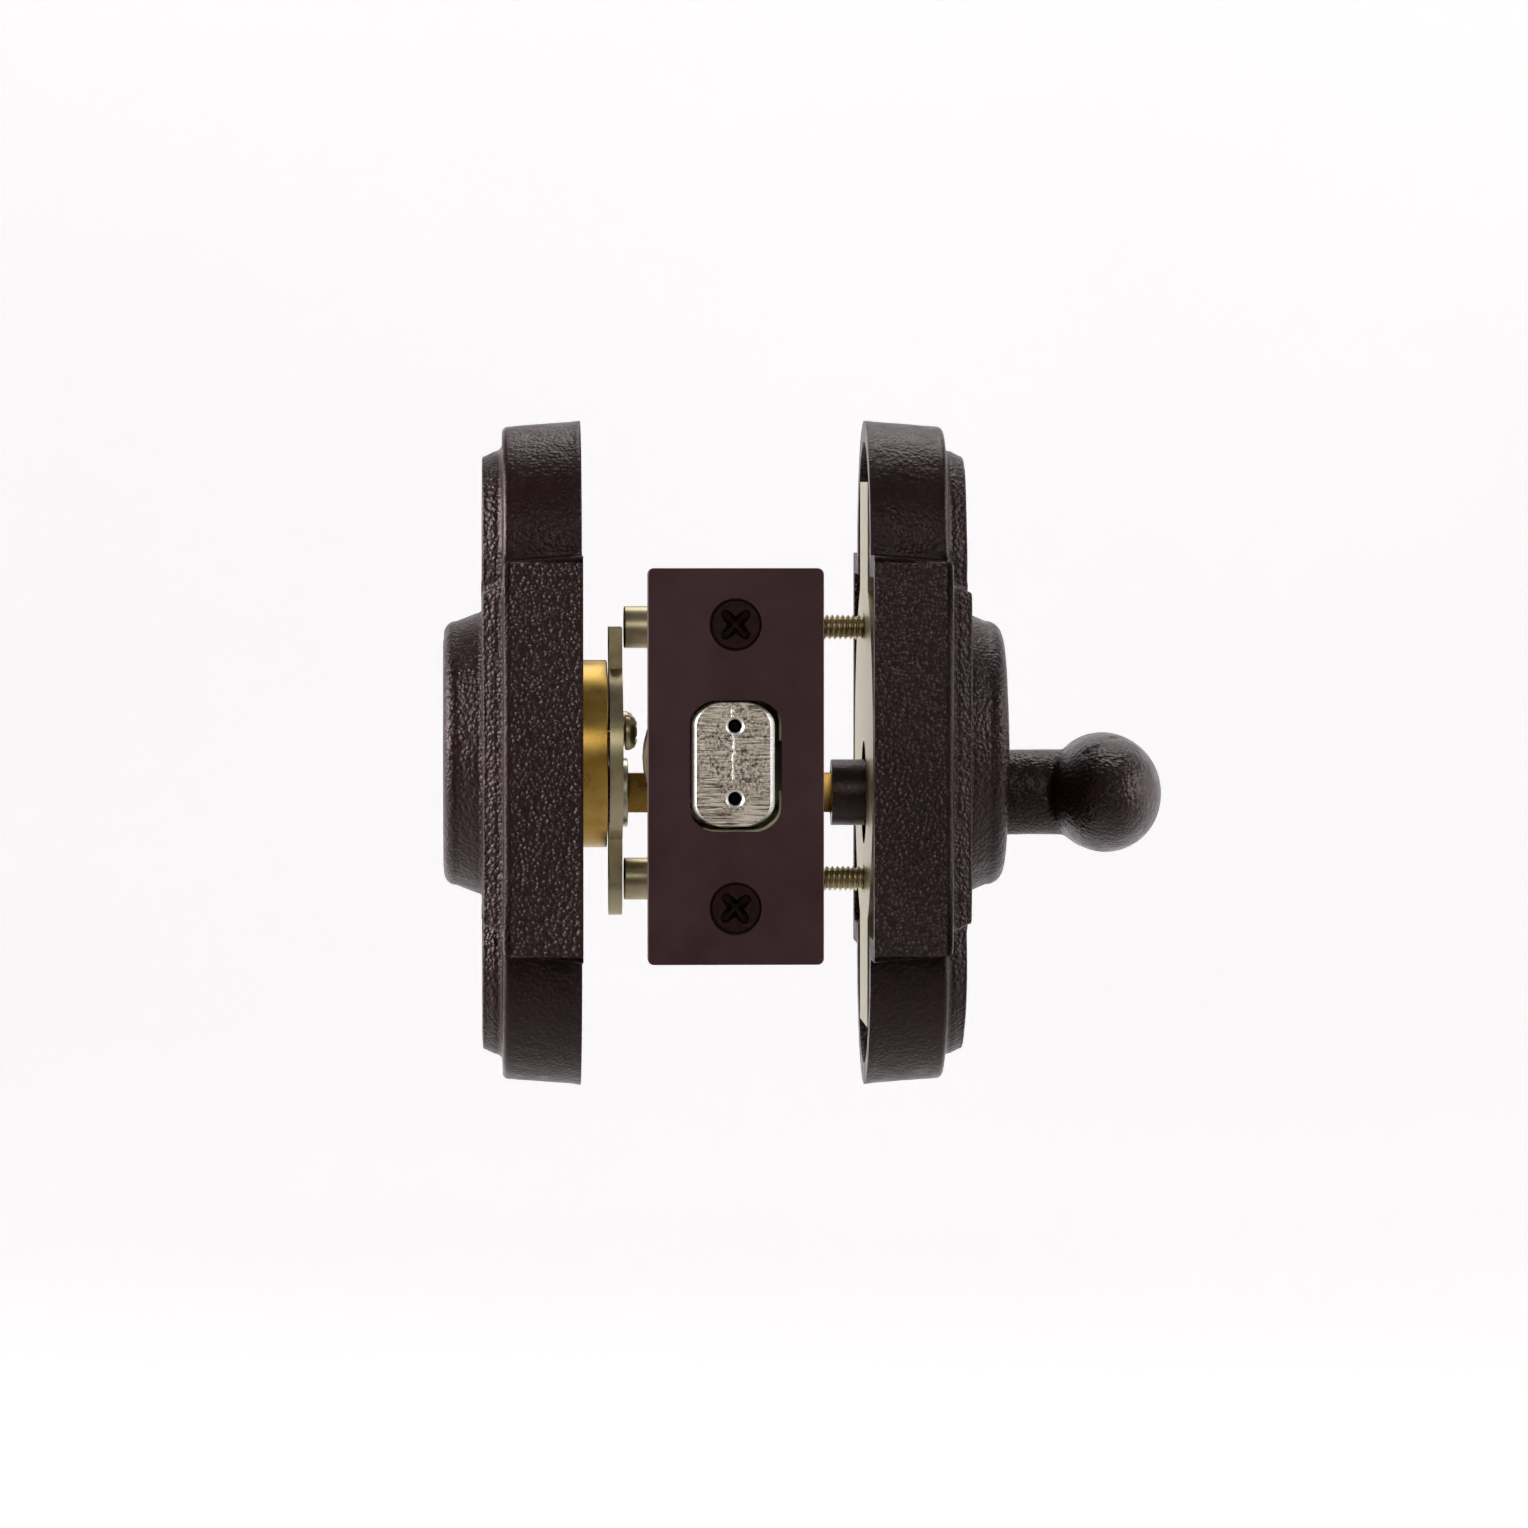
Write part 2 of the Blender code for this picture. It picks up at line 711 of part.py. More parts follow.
def lost_motion_recess():
    """The recess at the plug's rear where the tailpiece can turn a quarter before a lug takes it along."""
    radius = math.hypot(TAIL_WIDTH, TAIL_THICKNESS) / 2 + SEAT
    lug = TAIL_THICKNESS / 2 + SEAT
    end = CYLINDER_REAR + PLUG_STUB_LENGTH + REACH
    recess = rod("lost_motion_recess", "X", radius, CYLINDER_REAR, end, AXIS)
    for side in (-1, 1):
        near = Vector((CYLINDER_REAR - REACH, side * lug, AXIS.z + side * lug))
        far = Vector((end + REACH, side * PLUG_RADIUS, AXIS.z + side * PLUG_RADIUS))
        low = Vector(map(min, near, far))
        high = Vector(map(max, near, far))
        cut(recess, block(f"lost_motion_lug_{side}", low, high))
    return recess


def split_ring(name, inner, outer, thickness, start, centre, opening):
    """A flat C-shaped retaining ring with its opening at the top."""
    ring = turned(
        name,
        "X",
        [
            (start, inner),
            (start, outer),
            (start + thickness, outer),
            (start + thickness, inner),
        ],
        centre,
        steps=BORE_STEPS,
    )
    gap = block(
        name + "_gap",
        (start - REACH, -opening / 2, centre[2]),
        (start + thickness + REACH, opening / 2, centre[2] + outer + REACH),
    )
    return cut(ring, gap)


def plug_clip(carrier):
    """The ring that keeps the plug in its bore."""
    inner = PLUG_STUB_RADIUS - CLIP_WIDTH / 4 + SEAT
    start = CYLINDER_REAR + SEAT + SEAT / 2
    ring = split_ring(
        "plug_clip",
        inner,
        inner + CLIP_WIDTH,
        CLIP_THICKNESS,
        start,
        AXIS,
        PLUG_STUB_RADIUS,
    )
    return dress(ring, SPRING_STEEL, carrier)


def key_pins(carrier):
    """The pins in the plug, each cut to its own length, with their tops at the shear line and pointed feet."""
    top = AXIS.z + math.sqrt(PLUG_RADIUS**2 - PIN_RADIUS**2) - SEAT / 2
    for i, (x, length) in enumerate(zip(pin_places(), KEY_PIN_LENGTHS)):
        pin = turned(
            f"key_pin_{i + 1}",
            "Z",
            [
                (top, 0),
                (top, PIN_RADIUS),
                (top - length + PIN_RADIUS, PIN_RADIUS),
                (top - length, PIN_RADIUS / 3),
                (top - length, 0),
            ],
            (x, 0, 0),
            steps=PIN_STEPS,
        )
        dress(pin, BRASS, carrier)


def driver_pins():
    """The spool-shaped pins above the shear line, and their springs."""
    low = AXIS.z + PLUG_RADIUS + SEAT
    top = low + DRIVER_PIN_LENGTH
    waist = PIN_RADIUS * 0.72
    for i, x in enumerate(pin_places()):
        pin = turned(
            f"driver_pin_{i + 1}",
            "Z",
            [
                (low, 0),
                (low, PIN_RADIUS),
                (low + PIN_RADIUS, PIN_RADIUS),
                (low + PIN_RADIUS, waist),
                (top - PIN_RADIUS, waist),
                (top - PIN_RADIUS, PIN_RADIUS),
                (top, PIN_RADIUS),
                (top, 0),
            ],
            (x, 0, 0),
            steps=PIN_STEPS,
        )
        dress(pin, NICKEL_SILVER)
        coil = coil_spring(
            f"driver_spring_{i + 1}",
            PIN_RADIUS - SPRING_WIRE,
            top + SEAT / 2 + SPRING_WIRE,
            COVER_HEIGHT - SEAT / 2 - SPRING_WIRE,
            (x, 0, 0),
        )
        dress(coil, SPRING_STEEL)


def coil_spring(name, radius, low, high, centre):
    """A compression spring: a helix of a few turns with round wire."""
    curve = bpy.data.curves.new(name, "CURVE")
    curve.dimensions = "3D"
    curve.bevel_depth = SPRING_WIRE
    curve.bevel_resolution = 1
    curve.use_fill_caps = True
    spline = curve.splines.new("POLY")
    count = SPRING_TURNS * SPRING_POINTS
    spline.points.add(count)
    for i, point in enumerate(spline.points):
        angle = 2 * math.pi * i / SPRING_POINTS
        height = low + (high - low) * i / count
        point.co = (radius * math.cos(angle), radius * math.sin(angle), height, 1)
    return to_mesh_object(place(curve, name, centre))


# Cylinder clamp and mounting hardware


def cylinder_clamp():
    """The steel plate screwed to the cylinder's rear, with an ear above and below for the long screws."""
    clamp = rod("cylinder_clamp", "X", CLAMP_RADIUS, CLAMP_FRONT, CLAMP_REAR, steps=ROUND_STEPS)
    half = CLAMP_EAR_WIDTH / 2
    reach = MOUNT_SPACING / 2
    join(clamp, block("clamp_strap", (CLAMP_FRONT, -half, -reach), (CLAMP_REAR, half, reach)))
    for side in (-1, 1):
        centre = (0, 0, side * reach)
        join(clamp, rod(f"clamp_ear_{side}", "X", half, CLAMP_FRONT, CLAMP_REAR, centre))
    hole = PLUG_STUB_RADIUS + CLIP_WIDTH + SEAT
    start, end = CLAMP_FRONT - REACH, CLAMP_REAR + REACH
    cut(clamp, rod("clamp_window", "X", hole, start, end, AXIS, steps=BORE_STEPS))
    for side in (-1, 1):
        centre = (0, 0, side * reach)
        cut(clamp, rod(f"clamp_tap_{side}", "X", MOUNT_SCREW_RADIUS + SEAT, start, end, centre))
        cut(clamp, clamp_screw_hole(side, start, end))
    return dress(clamp, ZINC_STEEL)


def cross_recess(name, axis, front, depth, half_length, centre, outward):
    """The four-armed driver recess of a screw head, as a cutter."""
    arm = half_length * 0.32
    length = {"X": 0, "Y": 1, "Z": 2}[axis]
    others = [i for i in range(3) if i != length]
    bars = []
    for turn in range(2):
        low, high = Vector(centre), Vector(centre)
        low[length], high[length] = sorted((front + outward * REACH, front - outward * depth))
        low[others[turn]] -= half_length
        high[others[turn]] += half_length
        low[others[1 - turn]] -= arm
        high[others[1 - turn]] += arm
        bars.append(block(f"{name}_bar_{turn}", low, high))
    return join(bars[0], bars[1])


def pan_screw(name, head_front, head_height, head_radius, shank_radius, tip, centre):
    """A pan-head screw along X, its head at the interior side."""
    under = head_front - head_height
    screw = turned(
        name,
        "X",
        [
            (head_front, 0),
            (head_front, head_radius * 0.6),
            (head_front - head_height * 0.3, head_radius * 0.93),
            (head_front - head_height * 0.7, head_radius),
            (under, head_radius),
            (under, shank_radius),
            (tip + shank_radius, shank_radius),
            (tip, shank_radius * 0.5),
            (tip, 0),
        ],
        centre,
        steps=SMALL_STEPS,
    )
    recess = cross_recess(
        name + "_recess",
        "X",
        head_front,
        head_height * 0.6,
        head_radius * 0.5,
        centre,
        1,
    )
    return cut(screw, recess)


def clamp_hardware():
    """The two short screws that hold the clamp, and the two threaded posts riveted in its ears."""
    for name, side in (("front", -1), ("rear", 1)):
        centre = (0, side * CLAMP_SCREW_SPREAD, CLAMP_SCREW_RISE)
        head = CLAMP_SCREW_RADIUS * 1.2
        screw = pan_screw(
            f"clamp_screw_{name}",
            CLAMP_REAR + SEAT + head,
            head,
            CLAMP_SCREW_HEAD,
            CLAMP_SCREW_RADIUS,
            CYLINDER_REAR - CLAMP_SCREW_LENGTH + SEAT,
            centre,
        )
        dress(screw, ZINC_STEEL)
    for name, side in (("upper", 1), ("lower", -1)):
        start = CLAMP_REAR + SEAT
        end = start + POST_LENGTH
        bore = MOUNT_SCREW_RADIUS + SEAT
        post = turned(
            f"mounting_post_{name}",
            "X",
            [(start, bore), (start, POST_RADIUS), (end, POST_RADIUS), (end, bore)],
            (0, 0, side * MOUNT_SPACING / 2),
            steps=SMALL_STEPS,
        )
        dress(post, ZINC_STEEL)


def mounting_plate():
    """The stamped plate on the inside face of the door, with a lug above and below to hold the rose."""
    front = INSIDE + PLATE_THICKNESS
    plate = rod("mounting_plate", "X", PLATE_RADIUS, INSIDE, front, steps=ROUND_STEPS)
    half, reach = STRAP_WIDTH / 2, STRAP_LENGTH / 2
    join(plate, block("plate_strap", (INSIDE, -half, -reach), (front, half, reach)))
    for side in (-1, 1):
        near, far = sorted((side * (reach - PLATE_THICKNESS), side * reach))
        lug = block(
            f"plate_lug_{side}",
            (INSIDE + PLATE_THICKNESS / 2, -LUG_WIDTH / 2, near),
            (front + LUG_DEPTH, LUG_WIDTH / 2, far),
        )
        join(plate, lug)
    start, end = INSIDE - REACH, front + REACH
    window = SPINDLE_RADIUS + CLIP_WIDTH
    cut(plate, rod("plate_window", "X", window, start, end, AXIS, steps=BORE_STEPS))
    for side in (-1, 1):
        centre = (0, 0, side * MOUNT_SPACING / 2)
        cut(plate, rod(f"plate_hole_{side}", "X", MOUNT_SCREW_RADIUS + SEAT, start, end, centre))
    return dress(plate, ZINC_STEEL)


def mounting_screws():
    """The two long screws that draw both roses to the door."""
    under_head = INSIDE + PLATE_THICKNESS + SEAT
    tip = CLAMP_REAR + SEAT + POST_LENGTH - MOUNT_SCREW_GRIP
    for name, side in (("upper", 1), ("lower", -1)):
        screw = pan_screw(
            f"mounting_screw_{name}",
            under_head + MOUNT_SCREW_HEAD_HEIGHT,
            MOUNT_SCREW_HEAD_HEIGHT,
            MOUNT_SCREW_HEAD,
            MOUNT_SCREW_RADIUS,
            tip,
            (0, 0, side * MOUNT_SPACING / 2),
        )
        dress(screw, ZINC_STEEL)


def rose_set_screw():
    """The headless screw that locks the inside rose on the plate's lower lug."""
    x = INSIDE + PLATE_THICKNESS + SET_SCREW_DEPTH
    outer = -ROSE_HALF_HEIGHT - LOBE_RADIUS
    inner = -STRAP_LENGTH / 2 - SEAT
    screw = turned(
        "rose_set_screw",
        "Z",
        [
            (outer + RIM_DRAFT, 0),
            (outer + RIM_DRAFT, SET_SCREW_RADIUS),
            (inner - SET_SCREW_RADIUS / 2, SET_SCREW_RADIUS),
            (inner, SET_SCREW_RADIUS / 2),
            (inner, 0),
        ],
        (x, 0, 0),
        steps=SMALL_STEPS,
    )
    socket = rod(
        "set_screw_socket",
        "Z",
        SET_SCREW_RADIUS * 0.55,
        outer - REACH,
        outer + RIM_DRAFT + SET_SCREW_RADIUS,
        (x, 0, 0),
        steps=6,
    )
    return dress(cut(screw, socket), DARK_SCREW)


# Thumbturn train


def thumbturn(carrier):
    """The thumbturn: a full-ended cross bar on a round stem, with a slotted spindle behind the rose."""
    grip_x = INSIDE + GRIP_OUT
    shoulder = BEARING_BACK - SEAT - WASHER_THICKNESS - SEAT
    groove = shoulder - CLIP_THICKNESS - SEAT
    neck = SPINDLE_RADIUS - CLIP_WIDTH / 4
    stem = turned(
        "thumbturn",
        "X",
        [
            (grip_x, 0),
            (grip_x, STEM_RADIUS),
            (BEARING_BACK, STEM_RADIUS),
            (BEARING_BACK, SPINDLE_RADIUS),
            (shoulder, SPINDLE_RADIUS),
            (shoulder, neck),
            (groove, neck),
            (groove, SPINDLE_RADIUS),
            (SPINDLE_END, SPINDLE_RADIUS),
            (SPINDLE_END, 0),
        ],
        AXIS,
        steps=BORE_STEPS,
    )
    half = GRIP_LENGTH / 2
    stations = [
        math.radians(-90 + 180 * i / GRIP_STATIONS) for i in range(GRIP_STATIONS + 1)
    ]
    outline = [
        (
            half * math.sin(a),
            GRIP_RADIUS * max(0, 1 - abs(math.sin(a)) ** GRIP_FULLNESS) ** 0.5,
        )
        for a in stations
    ]
    grip = turned("grip", "Y", outline, (grip_x, 0, AXIS.z), steps=BORE_STEPS)
    join(stem, grip)
    pocket = block(
        "spindle_pocket",
        (SPINDLE_END - REACH, -TAIL_THICKNESS / 2 - SEAT, AXIS.z - TAIL_WIDTH / 2 - SEAT),
        (TAIL_END + SEAT, TAIL_THICKNESS / 2 + SEAT, AXIS.z + TAIL_WIDTH / 2 + SEAT),
    )
    cut(stem, pocket)
    return dress(stem, CAST_BRONZE, carrier)


def turn_washer(carrier):
    """The washer between the rose's bearing and the clip."""
    start = BEARING_BACK - SEAT - WASHER_THICKNESS
    end = start + WASHER_THICKNESS
    inner, outer = SPINDLE_RADIUS + SEAT, BEARING_RADIUS
    profile = [(start, inner), (start, outer), (end, outer), (end, inner)]
    return dress(turned("turn_washer", "X", profile, AXIS, steps=BORE_STEPS), SPRING_STEEL, carrier)


def turn_clip(carrier):
    """The ring that keeps the thumbturn in the rose."""
    inner = SPINDLE_RADIUS - CLIP_WIDTH / 4 + SEAT / 2
    start = BEARING_BACK - SEAT - WASHER_THICKNESS - SEAT - CLIP_THICKNESS - SEAT / 2
    ring = split_ring(
        "turn_clip",
        inner,
        inner + CLIP_WIDTH,
        CLIP_THICKNESS,
        start,
        AXIS,
        SPINDLE_RADIUS,
    )
    return dress(ring, SPRING_STEEL, carrier)


def tailpiece(carrier):
    """The flat bar that joins the plug, the crank and the thumbturn."""
    half_t, half_w = TAIL_THICKNESS / 2, TAIL_WIDTH / 2
    bar = block(
        "tailpiece",
        (TAIL_START, -half_t, AXIS.z - half_w),
        (TAIL_END, half_t, AXIS.z + half_w),
    )
    return dress(bar, BRASS, carrier)


# Bolt cartridge


def screw_places():
    """Names and heights of the two edge screws."""
    return (("upper", EDGE_SCREW_SPACING / 2), ("lower", -EDGE_SCREW_SPACING / 2))


def faceplate():
    """The plate on the door's edge, with the bolt's window and two countersunk holes."""
    middle = EDGE + FACEPLATE_THICKNESS / 2
    outline = rounded(FACEPLATE_WIDTH, FACEPLATE_HEIGHT, FACEPLATE_CORNER)
    plate = sheet("faceplate", outline, FACEPLATE_THICKNESS, (0, middle, 0), FACING_EDGE)
    window = sheet(
        "faceplate_window",
        chamfered(WINDOW_WIDTH, WINDOW_HEIGHT, BOLT_CHAMFER),
        FACEPLATE_THICKNESS + 2 * REACH,
        (0, middle, 0),
        FACING_EDGE,
    )
    cut(plate, window)
    for name, z in screw_places():
        cut(plate, screw_seat(f"faceplate_seat_{name}", z, EDGE + FACEPLATE_THICKNESS))
    return dress(plate, DARK_PLATE)


def screw_seat(name, z, end):
    """The countersunk hole of an edge screw, as a cutter that runs past the plate."""
    head, shank = EDGE_SCREW_HEAD + SEAT, EDGE_SCREW_RADIUS + SEAT
    cone_end = EDGE + EDGE_SCREW_HEAD_HEIGHT + SEAT
    last = max(end, cone_end) + REACH
    profile = [
        (EDGE - REACH, 0),
        (EDGE - REACH, head),
        (EDGE + SEAT, head),
        (cone_end, shank),
        (last, shank),
        (last, 0),
    ]
    return turned(name, "Y", profile, (0, 0, z), steps=BORE_STEPS)


def edge_screws():
    """The flat-head wood screws of the faceplate."""
    for name, z in screw_places():
        cone_end = EDGE + EDGE_SCREW_HEAD_HEIGHT
        tip = EDGE + EDGE_SCREW_LENGTH
        screw = turned(
            f"edge_screw_{name}",
            "Y",
            [
                (EDGE, 0),
                (EDGE, EDGE_SCREW_HEAD),
                (cone_end, EDGE_SCREW_RADIUS),
                (tip - 2 * EDGE_SCREW_RADIUS, EDGE_SCREW_RADIUS),
                (tip, 0),
            ],
            (0, 0, z),
            steps=BORE_STEPS,
        )
        recess = cross_recess(
            f"edge_recess_{name}",
            "Y",
            EDGE,
            EDGE_SCREW_HEAD_HEIGHT * 0.7,
            EDGE_SCREW_HEAD * 0.56,
            (0, 0, z),
            -1,
        )
        dress(cut(screw, recess), DARK_SCREW)


def backing_plate():
    """The plated steel plate behind the faceplate, which guides the bolt and has a side notch."""
    middle = (BACKING_FRONT + BACKING_REAR) / 2
    width = FACEPLATE_WIDTH - 2 * BACKING_INSET
    height = FACEPLATE_HEIGHT - 2 * BACKING_INSET
    outline = rounded(width, height, FACEPLATE_CORNER)
    plate = sheet("backing_plate", outline, BACKING_THICKNESS, (0, middle, 0), FACING_EDGE)
    left = -BOLT_WIDTH / 2 - BOLT_SIDE_PLAY - SEAT
    lip = WINDOW_WIDTH / 2 - BACKING_LIP
    guide = sheet(
        "backing_guide",
        chamfered(lip - left, BOLT_HEIGHT + 2 * SEAT, BOLT_CHAMFER, ((left + lip) / 2, 0)),
        BACKING_THICKNESS + 2 * REACH,
        (0, middle, 0),
        FACING_EDGE,
    )
    right = BOLT_WIDTH / 2 - BOLT_SIDE_PLAY
    notch = block(
        "backing_notch",
        (0, BACKING_FRONT - REACH, -NOTCH_HEIGHT / 2),
        (right + NOTCH_DEPTH, BACKING_REAR + REACH, NOTCH_HEIGHT / 2),
    )
    cut(plate, guide, notch)
    for name, z in screw_places():
        hole = rod(
            f"backing_hole_{name}",
            "Y",
            EDGE_SCREW_RADIUS + 2 * SEAT,
            BACKING_FRONT - REACH,
            BACKING_REAR + REACH,
            (0, 0, z),
        )
        cut(plate, hole)
    return dress(plate, ZINC_STEEL)


def bolt_tube():
    """The round barrel in the door's edge bore."""
    start, end = BACKING_REAR + SEAT, -TUBE_END
    inner = TUBE_RADIUS - TUBE_WALL
    profile = [(start, inner), (start, TUBE_RADIUS), (end, TUBE_RADIUS), (end, inner)]
    return dress(turned("bolt_tube", "Y", profile), ZINC_STEEL)


def rivet_places():
    """Names and places along Y of the rivets through the case."""
    return (("front", -RIVET_FRONT), ("rear", CASE_LENGTH - RIVET_MARGIN))


def case_half(name, side):
    """One stamped half of the rear case: a round collar in the tube, a flange, and a flat cheek with curved lips."""
    start = -TUBE_END + SEAT
    flange_end = start + CASE_WALL
    collar = TUBE_RADIUS - TUBE_WALL - SEAT
    body = rod(name, "Y", TUBE_RADIUS, start, CASE_LENGTH, steps=ROUND_STEPS)
    for sign in (-1, 1):
        near, far = sorted((sign * CASE_HALF_WIDTH, sign * (TUBE_RADIUS + REACH)))
        cheek = block(
            f"{name}_cheek_{sign}",
            (near, flange_end, -TUBE_RADIUS - REACH),
            (far, CASE_LENGTH + REACH, TUBE_RADIUS + REACH),
        )
        cut(body, cheek)
    join(body, rod(f"{name}_collar", "Y", collar, start - COLLAR_LENGTH, flange_end, steps=ROUND_STEPS))
    inner_width = CASE_HALF_WIDTH - CASE_WALL
    inside = rod(
        f"{name}_inside",
        "Y",
        TUBE_RADIUS - CASE_WALL,
        start - REACH,
        CASE_LENGTH - CASE_WALL,
        steps=ROUND_STEPS,
    )
    for sign in (-1, 1):
        near, far = sorted((sign * inner_width, sign * (TUBE_RADIUS + REACH)))
        side_cut = block(
            f"{name}_inside_{sign}",
            (near, start - 2 * REACH, -TUBE_RADIUS - REACH),
            (far, CASE_LENGTH + REACH, TUBE_RADIUS + REACH),
        )
        cut(inside, side_cut)
    mouth = rod(
        f"{name}_mouth",
        "Y",
        collar - CASE_WALL,
        start - COLLAR_LENGTH - REACH,
        start,
        steps=ROUND_STEPS,
    )
    roof = block(
        f"{name}_roof",
        (-inner_width, start - REACH, SLIDE_HEIGHT),
        (inner_width, CASE_LENGTH - CASE_WALL, TUBE_RADIUS + REACH),
    )
    journal = rod(
        f"{name}_journal",
        "X",
        JOURNAL_RADIUS + SEAT,
        -CASE_HALF_WIDTH - REACH,
        CASE_HALF_WIDTH + REACH,
        AXIS,
        steps=BORE_STEPS,
    )
    near, far = sorted((side * SEAT / 2, -side * (TUBE_RADIUS + REACH)))
    other_half = block(
        f"{name}_other",
        (near, -BACKSET, -TUBE_RADIUS - REACH),
        (far, BACKSET, TUBE_RADIUS + REACH),
    )
    cut(body, inside, mouth, roof, journal)
    for _, place_y in rivet_places():
        hole = rod(
            f"{name}_rivet_{place_y:.3f}",
            "X",
            RIVET_RADIUS + SEAT,
            -CASE_HALF_WIDTH - REACH,
            CASE_HALF_WIDTH + REACH,
            (0, place_y, -RIVET_DROP),
            steps=PIN_STEPS,
        )
        cut(body, hole)
    cut(body, other_half)
    return dress(body, ZINC_STEEL)


def case_rivets():
    """The two rivets that hold the case halves together."""
    for name, y in rivet_places():
        cheek = CASE_HALF_WIDTH + SEAT
        head = cheek + RIVET_HEAD_HEIGHT
        rivet = turned(
            f"case_rivet_{name}",
            "X",
            [
                (-head, 0),
                (-head, RIVET_HEAD * 0.8),
                (-cheek, RIVET_HEAD),
                (-cheek, RIVET_RADIUS),
                (cheek, RIVET_RADIUS),
                (cheek, RIVET_HEAD),
                (head, RIVET_HEAD * 0.8),
                (head, 0),
            ],
            (0, y, -RIVET_DROP),
            steps=PIN_STEPS,
        )
        dress(rivet, ZINC_STEEL)


def detent_leaf():
    """The leaf spring under the crank's hub, which its flats snap against."""
    top = AXIS.z - HUB_RADIUS - SEAT
    half, long_half = LEAF_WIDTH / 2, LEAF_LENGTH / 2
    leaf = block(
        "detent_leaf",
        (-half, -long_half, top - LEAF_THICKNESS),
        (half, long_half, top),
    )
    return dress(leaf, SPRING_STEEL)


def bolt_head(carrier):
    """The bolt: a chamfered bar with two rod holes in its end and a slot for the slide's tongue."""
    rear = EDGE + BOLT_LENGTH
    middle = (EDGE + rear) / 2
    outline = chamfered(BOLT_WIDTH, BOLT_HEIGHT, BOLT_CHAMFER)
    bolt = sheet("bolt_head", outline, BOLT_LENGTH, (-BOLT_SIDE_PLAY, middle, 0), FACING_EDGE)
    soften(bolt, BOLT_EDGE)
    for name, z in rod_places():
        hole = rod(
            f"rod_hole_{name}",
            "Y",
            ROD_RADIUS,
            EDGE - REACH,
            EDGE + ROD_RECESS + SEAT + ROD_LENGTH + SEAT,
            (0, 0, z),
        )
        cut(bolt, hole)
    slot = block(
        "tongue_slot",
        (-SLIDE_THICKNESS / 2 - SEAT, rear - SLIDE_TONGUE - SEAT, -SLIDE_BOTTOM - SEAT),
        (SLIDE_THICKNESS / 2 + SEAT, rear + REACH, SLIDE_HEIGHT + SEAT),
    )
    pin_hole = rod(
        "slide_pin_hole",
        "X",
        SLIDE_PIN_RADIUS + SEAT,
        -BOLT_WIDTH,
        BOLT_WIDTH,
        slide_pin_place(),
        steps=PIN_STEPS,
    )
    cut(bolt, slot, pin_hole)
    return dress(bolt, BRUSHED_NICKEL, carrier)


def rod_places():
    """Names and heights of the hardened rods."""
    return (("upper", ROD_LIFT + ROD_SPACING / 2), ("lower", ROD_LIFT - ROD_SPACING / 2))


def bolt_rods(carrier):
    """The hardened rods inside the bolt, which stop a saw."""
    start = EDGE + ROD_RECESS + SEAT
    for name, z in rod_places():
        made = rod(
            f"bolt_rod_{name}",
            "Y",
            ROD_RADIUS - SEAT,
            start,
            start + ROD_LENGTH,
            (0, 0, z),
            steps=12,
        )
        dress(made, SPRING_STEEL, carrier)


def slide_pin_place():
    """The middle of the pin between the bolt and its slide."""
    return (0, EDGE + BOLT_LENGTH - SLIDE_TONGUE / 2, (SLIDE_HEIGHT - SLIDE_BOTTOM) / 2)


def bolt_slide(carrier):
    """The flat slide: a strip from the bolt's slot to an upright fork that the crank pin works in."""
    front = EDGE + BOLT_LENGTH - SLIDE_TONGUE
    fork = BOLT_THROW / 2
    gap = CRANK_PIN_RADIUS + CRANK_PLAY
    near, far = fork - gap, fork + gap
    floor = LOW_PIN - AXIS_DROP - gap
    rise = FORK_HEIGHT - SLIDE_HEIGHT
    outline = [
        (front, -SLIDE_BOTTOM),
        (far + FORK_WALL, -SLIDE_BOTTOM),
        (far + FORK_WALL, FORK_HEIGHT - FORK_WALL / 2),
        (far + FORK_WALL / 2, FORK_HEIGHT),
        (far, FORK_HEIGHT),
        (far, floor + gap),
    ]
    outline += arc((fork, floor + gap), gap, 0, -180, 6)[1:]
    outline += [
        (near, FORK_HEIGHT),
        (near - FORK_WALL / 2, FORK_HEIGHT),
        (near - FORK_WALL / 2 - rise, SLIDE_HEIGHT),
        (front, SLIDE_HEIGHT),
    ]
    slide = sheet("bolt_slide", outline, SLIDE_THICKNESS, (0, 0, 0), FACING_SIDE)
    hole = rod(
        "slide_hole",
        "X",
        SLIDE_PIN_RADIUS + SEAT,
        -SLIDE_THICKNESS,
        SLIDE_THICKNESS,
        slide_pin_place(),
        steps=PIN_STEPS,
    )
    return dress(cut(slide, hole), ZINC_STEEL, carrier)


def slide_pin(carrier):
    """The pin that joins the slide to the bolt."""
    reach = BOLT_WIDTH / 2
    pin = rod(
        "slide_pin",
        "X",
        SLIDE_PIN_RADIUS,
        -BOLT_SIDE_PLAY - reach,
        -BOLT_SIDE_PLAY + reach,
        slide_pin_place(),
        steps=PIN_STEPS,
    )
    return dress(pin, SPRING_STEEL, carrier)


def crank_pin_place():
    """The crank pin at rest: half the throw behind the axis."""
    return (0, LOW_PIN, LOW_PIN + AXIS.z)


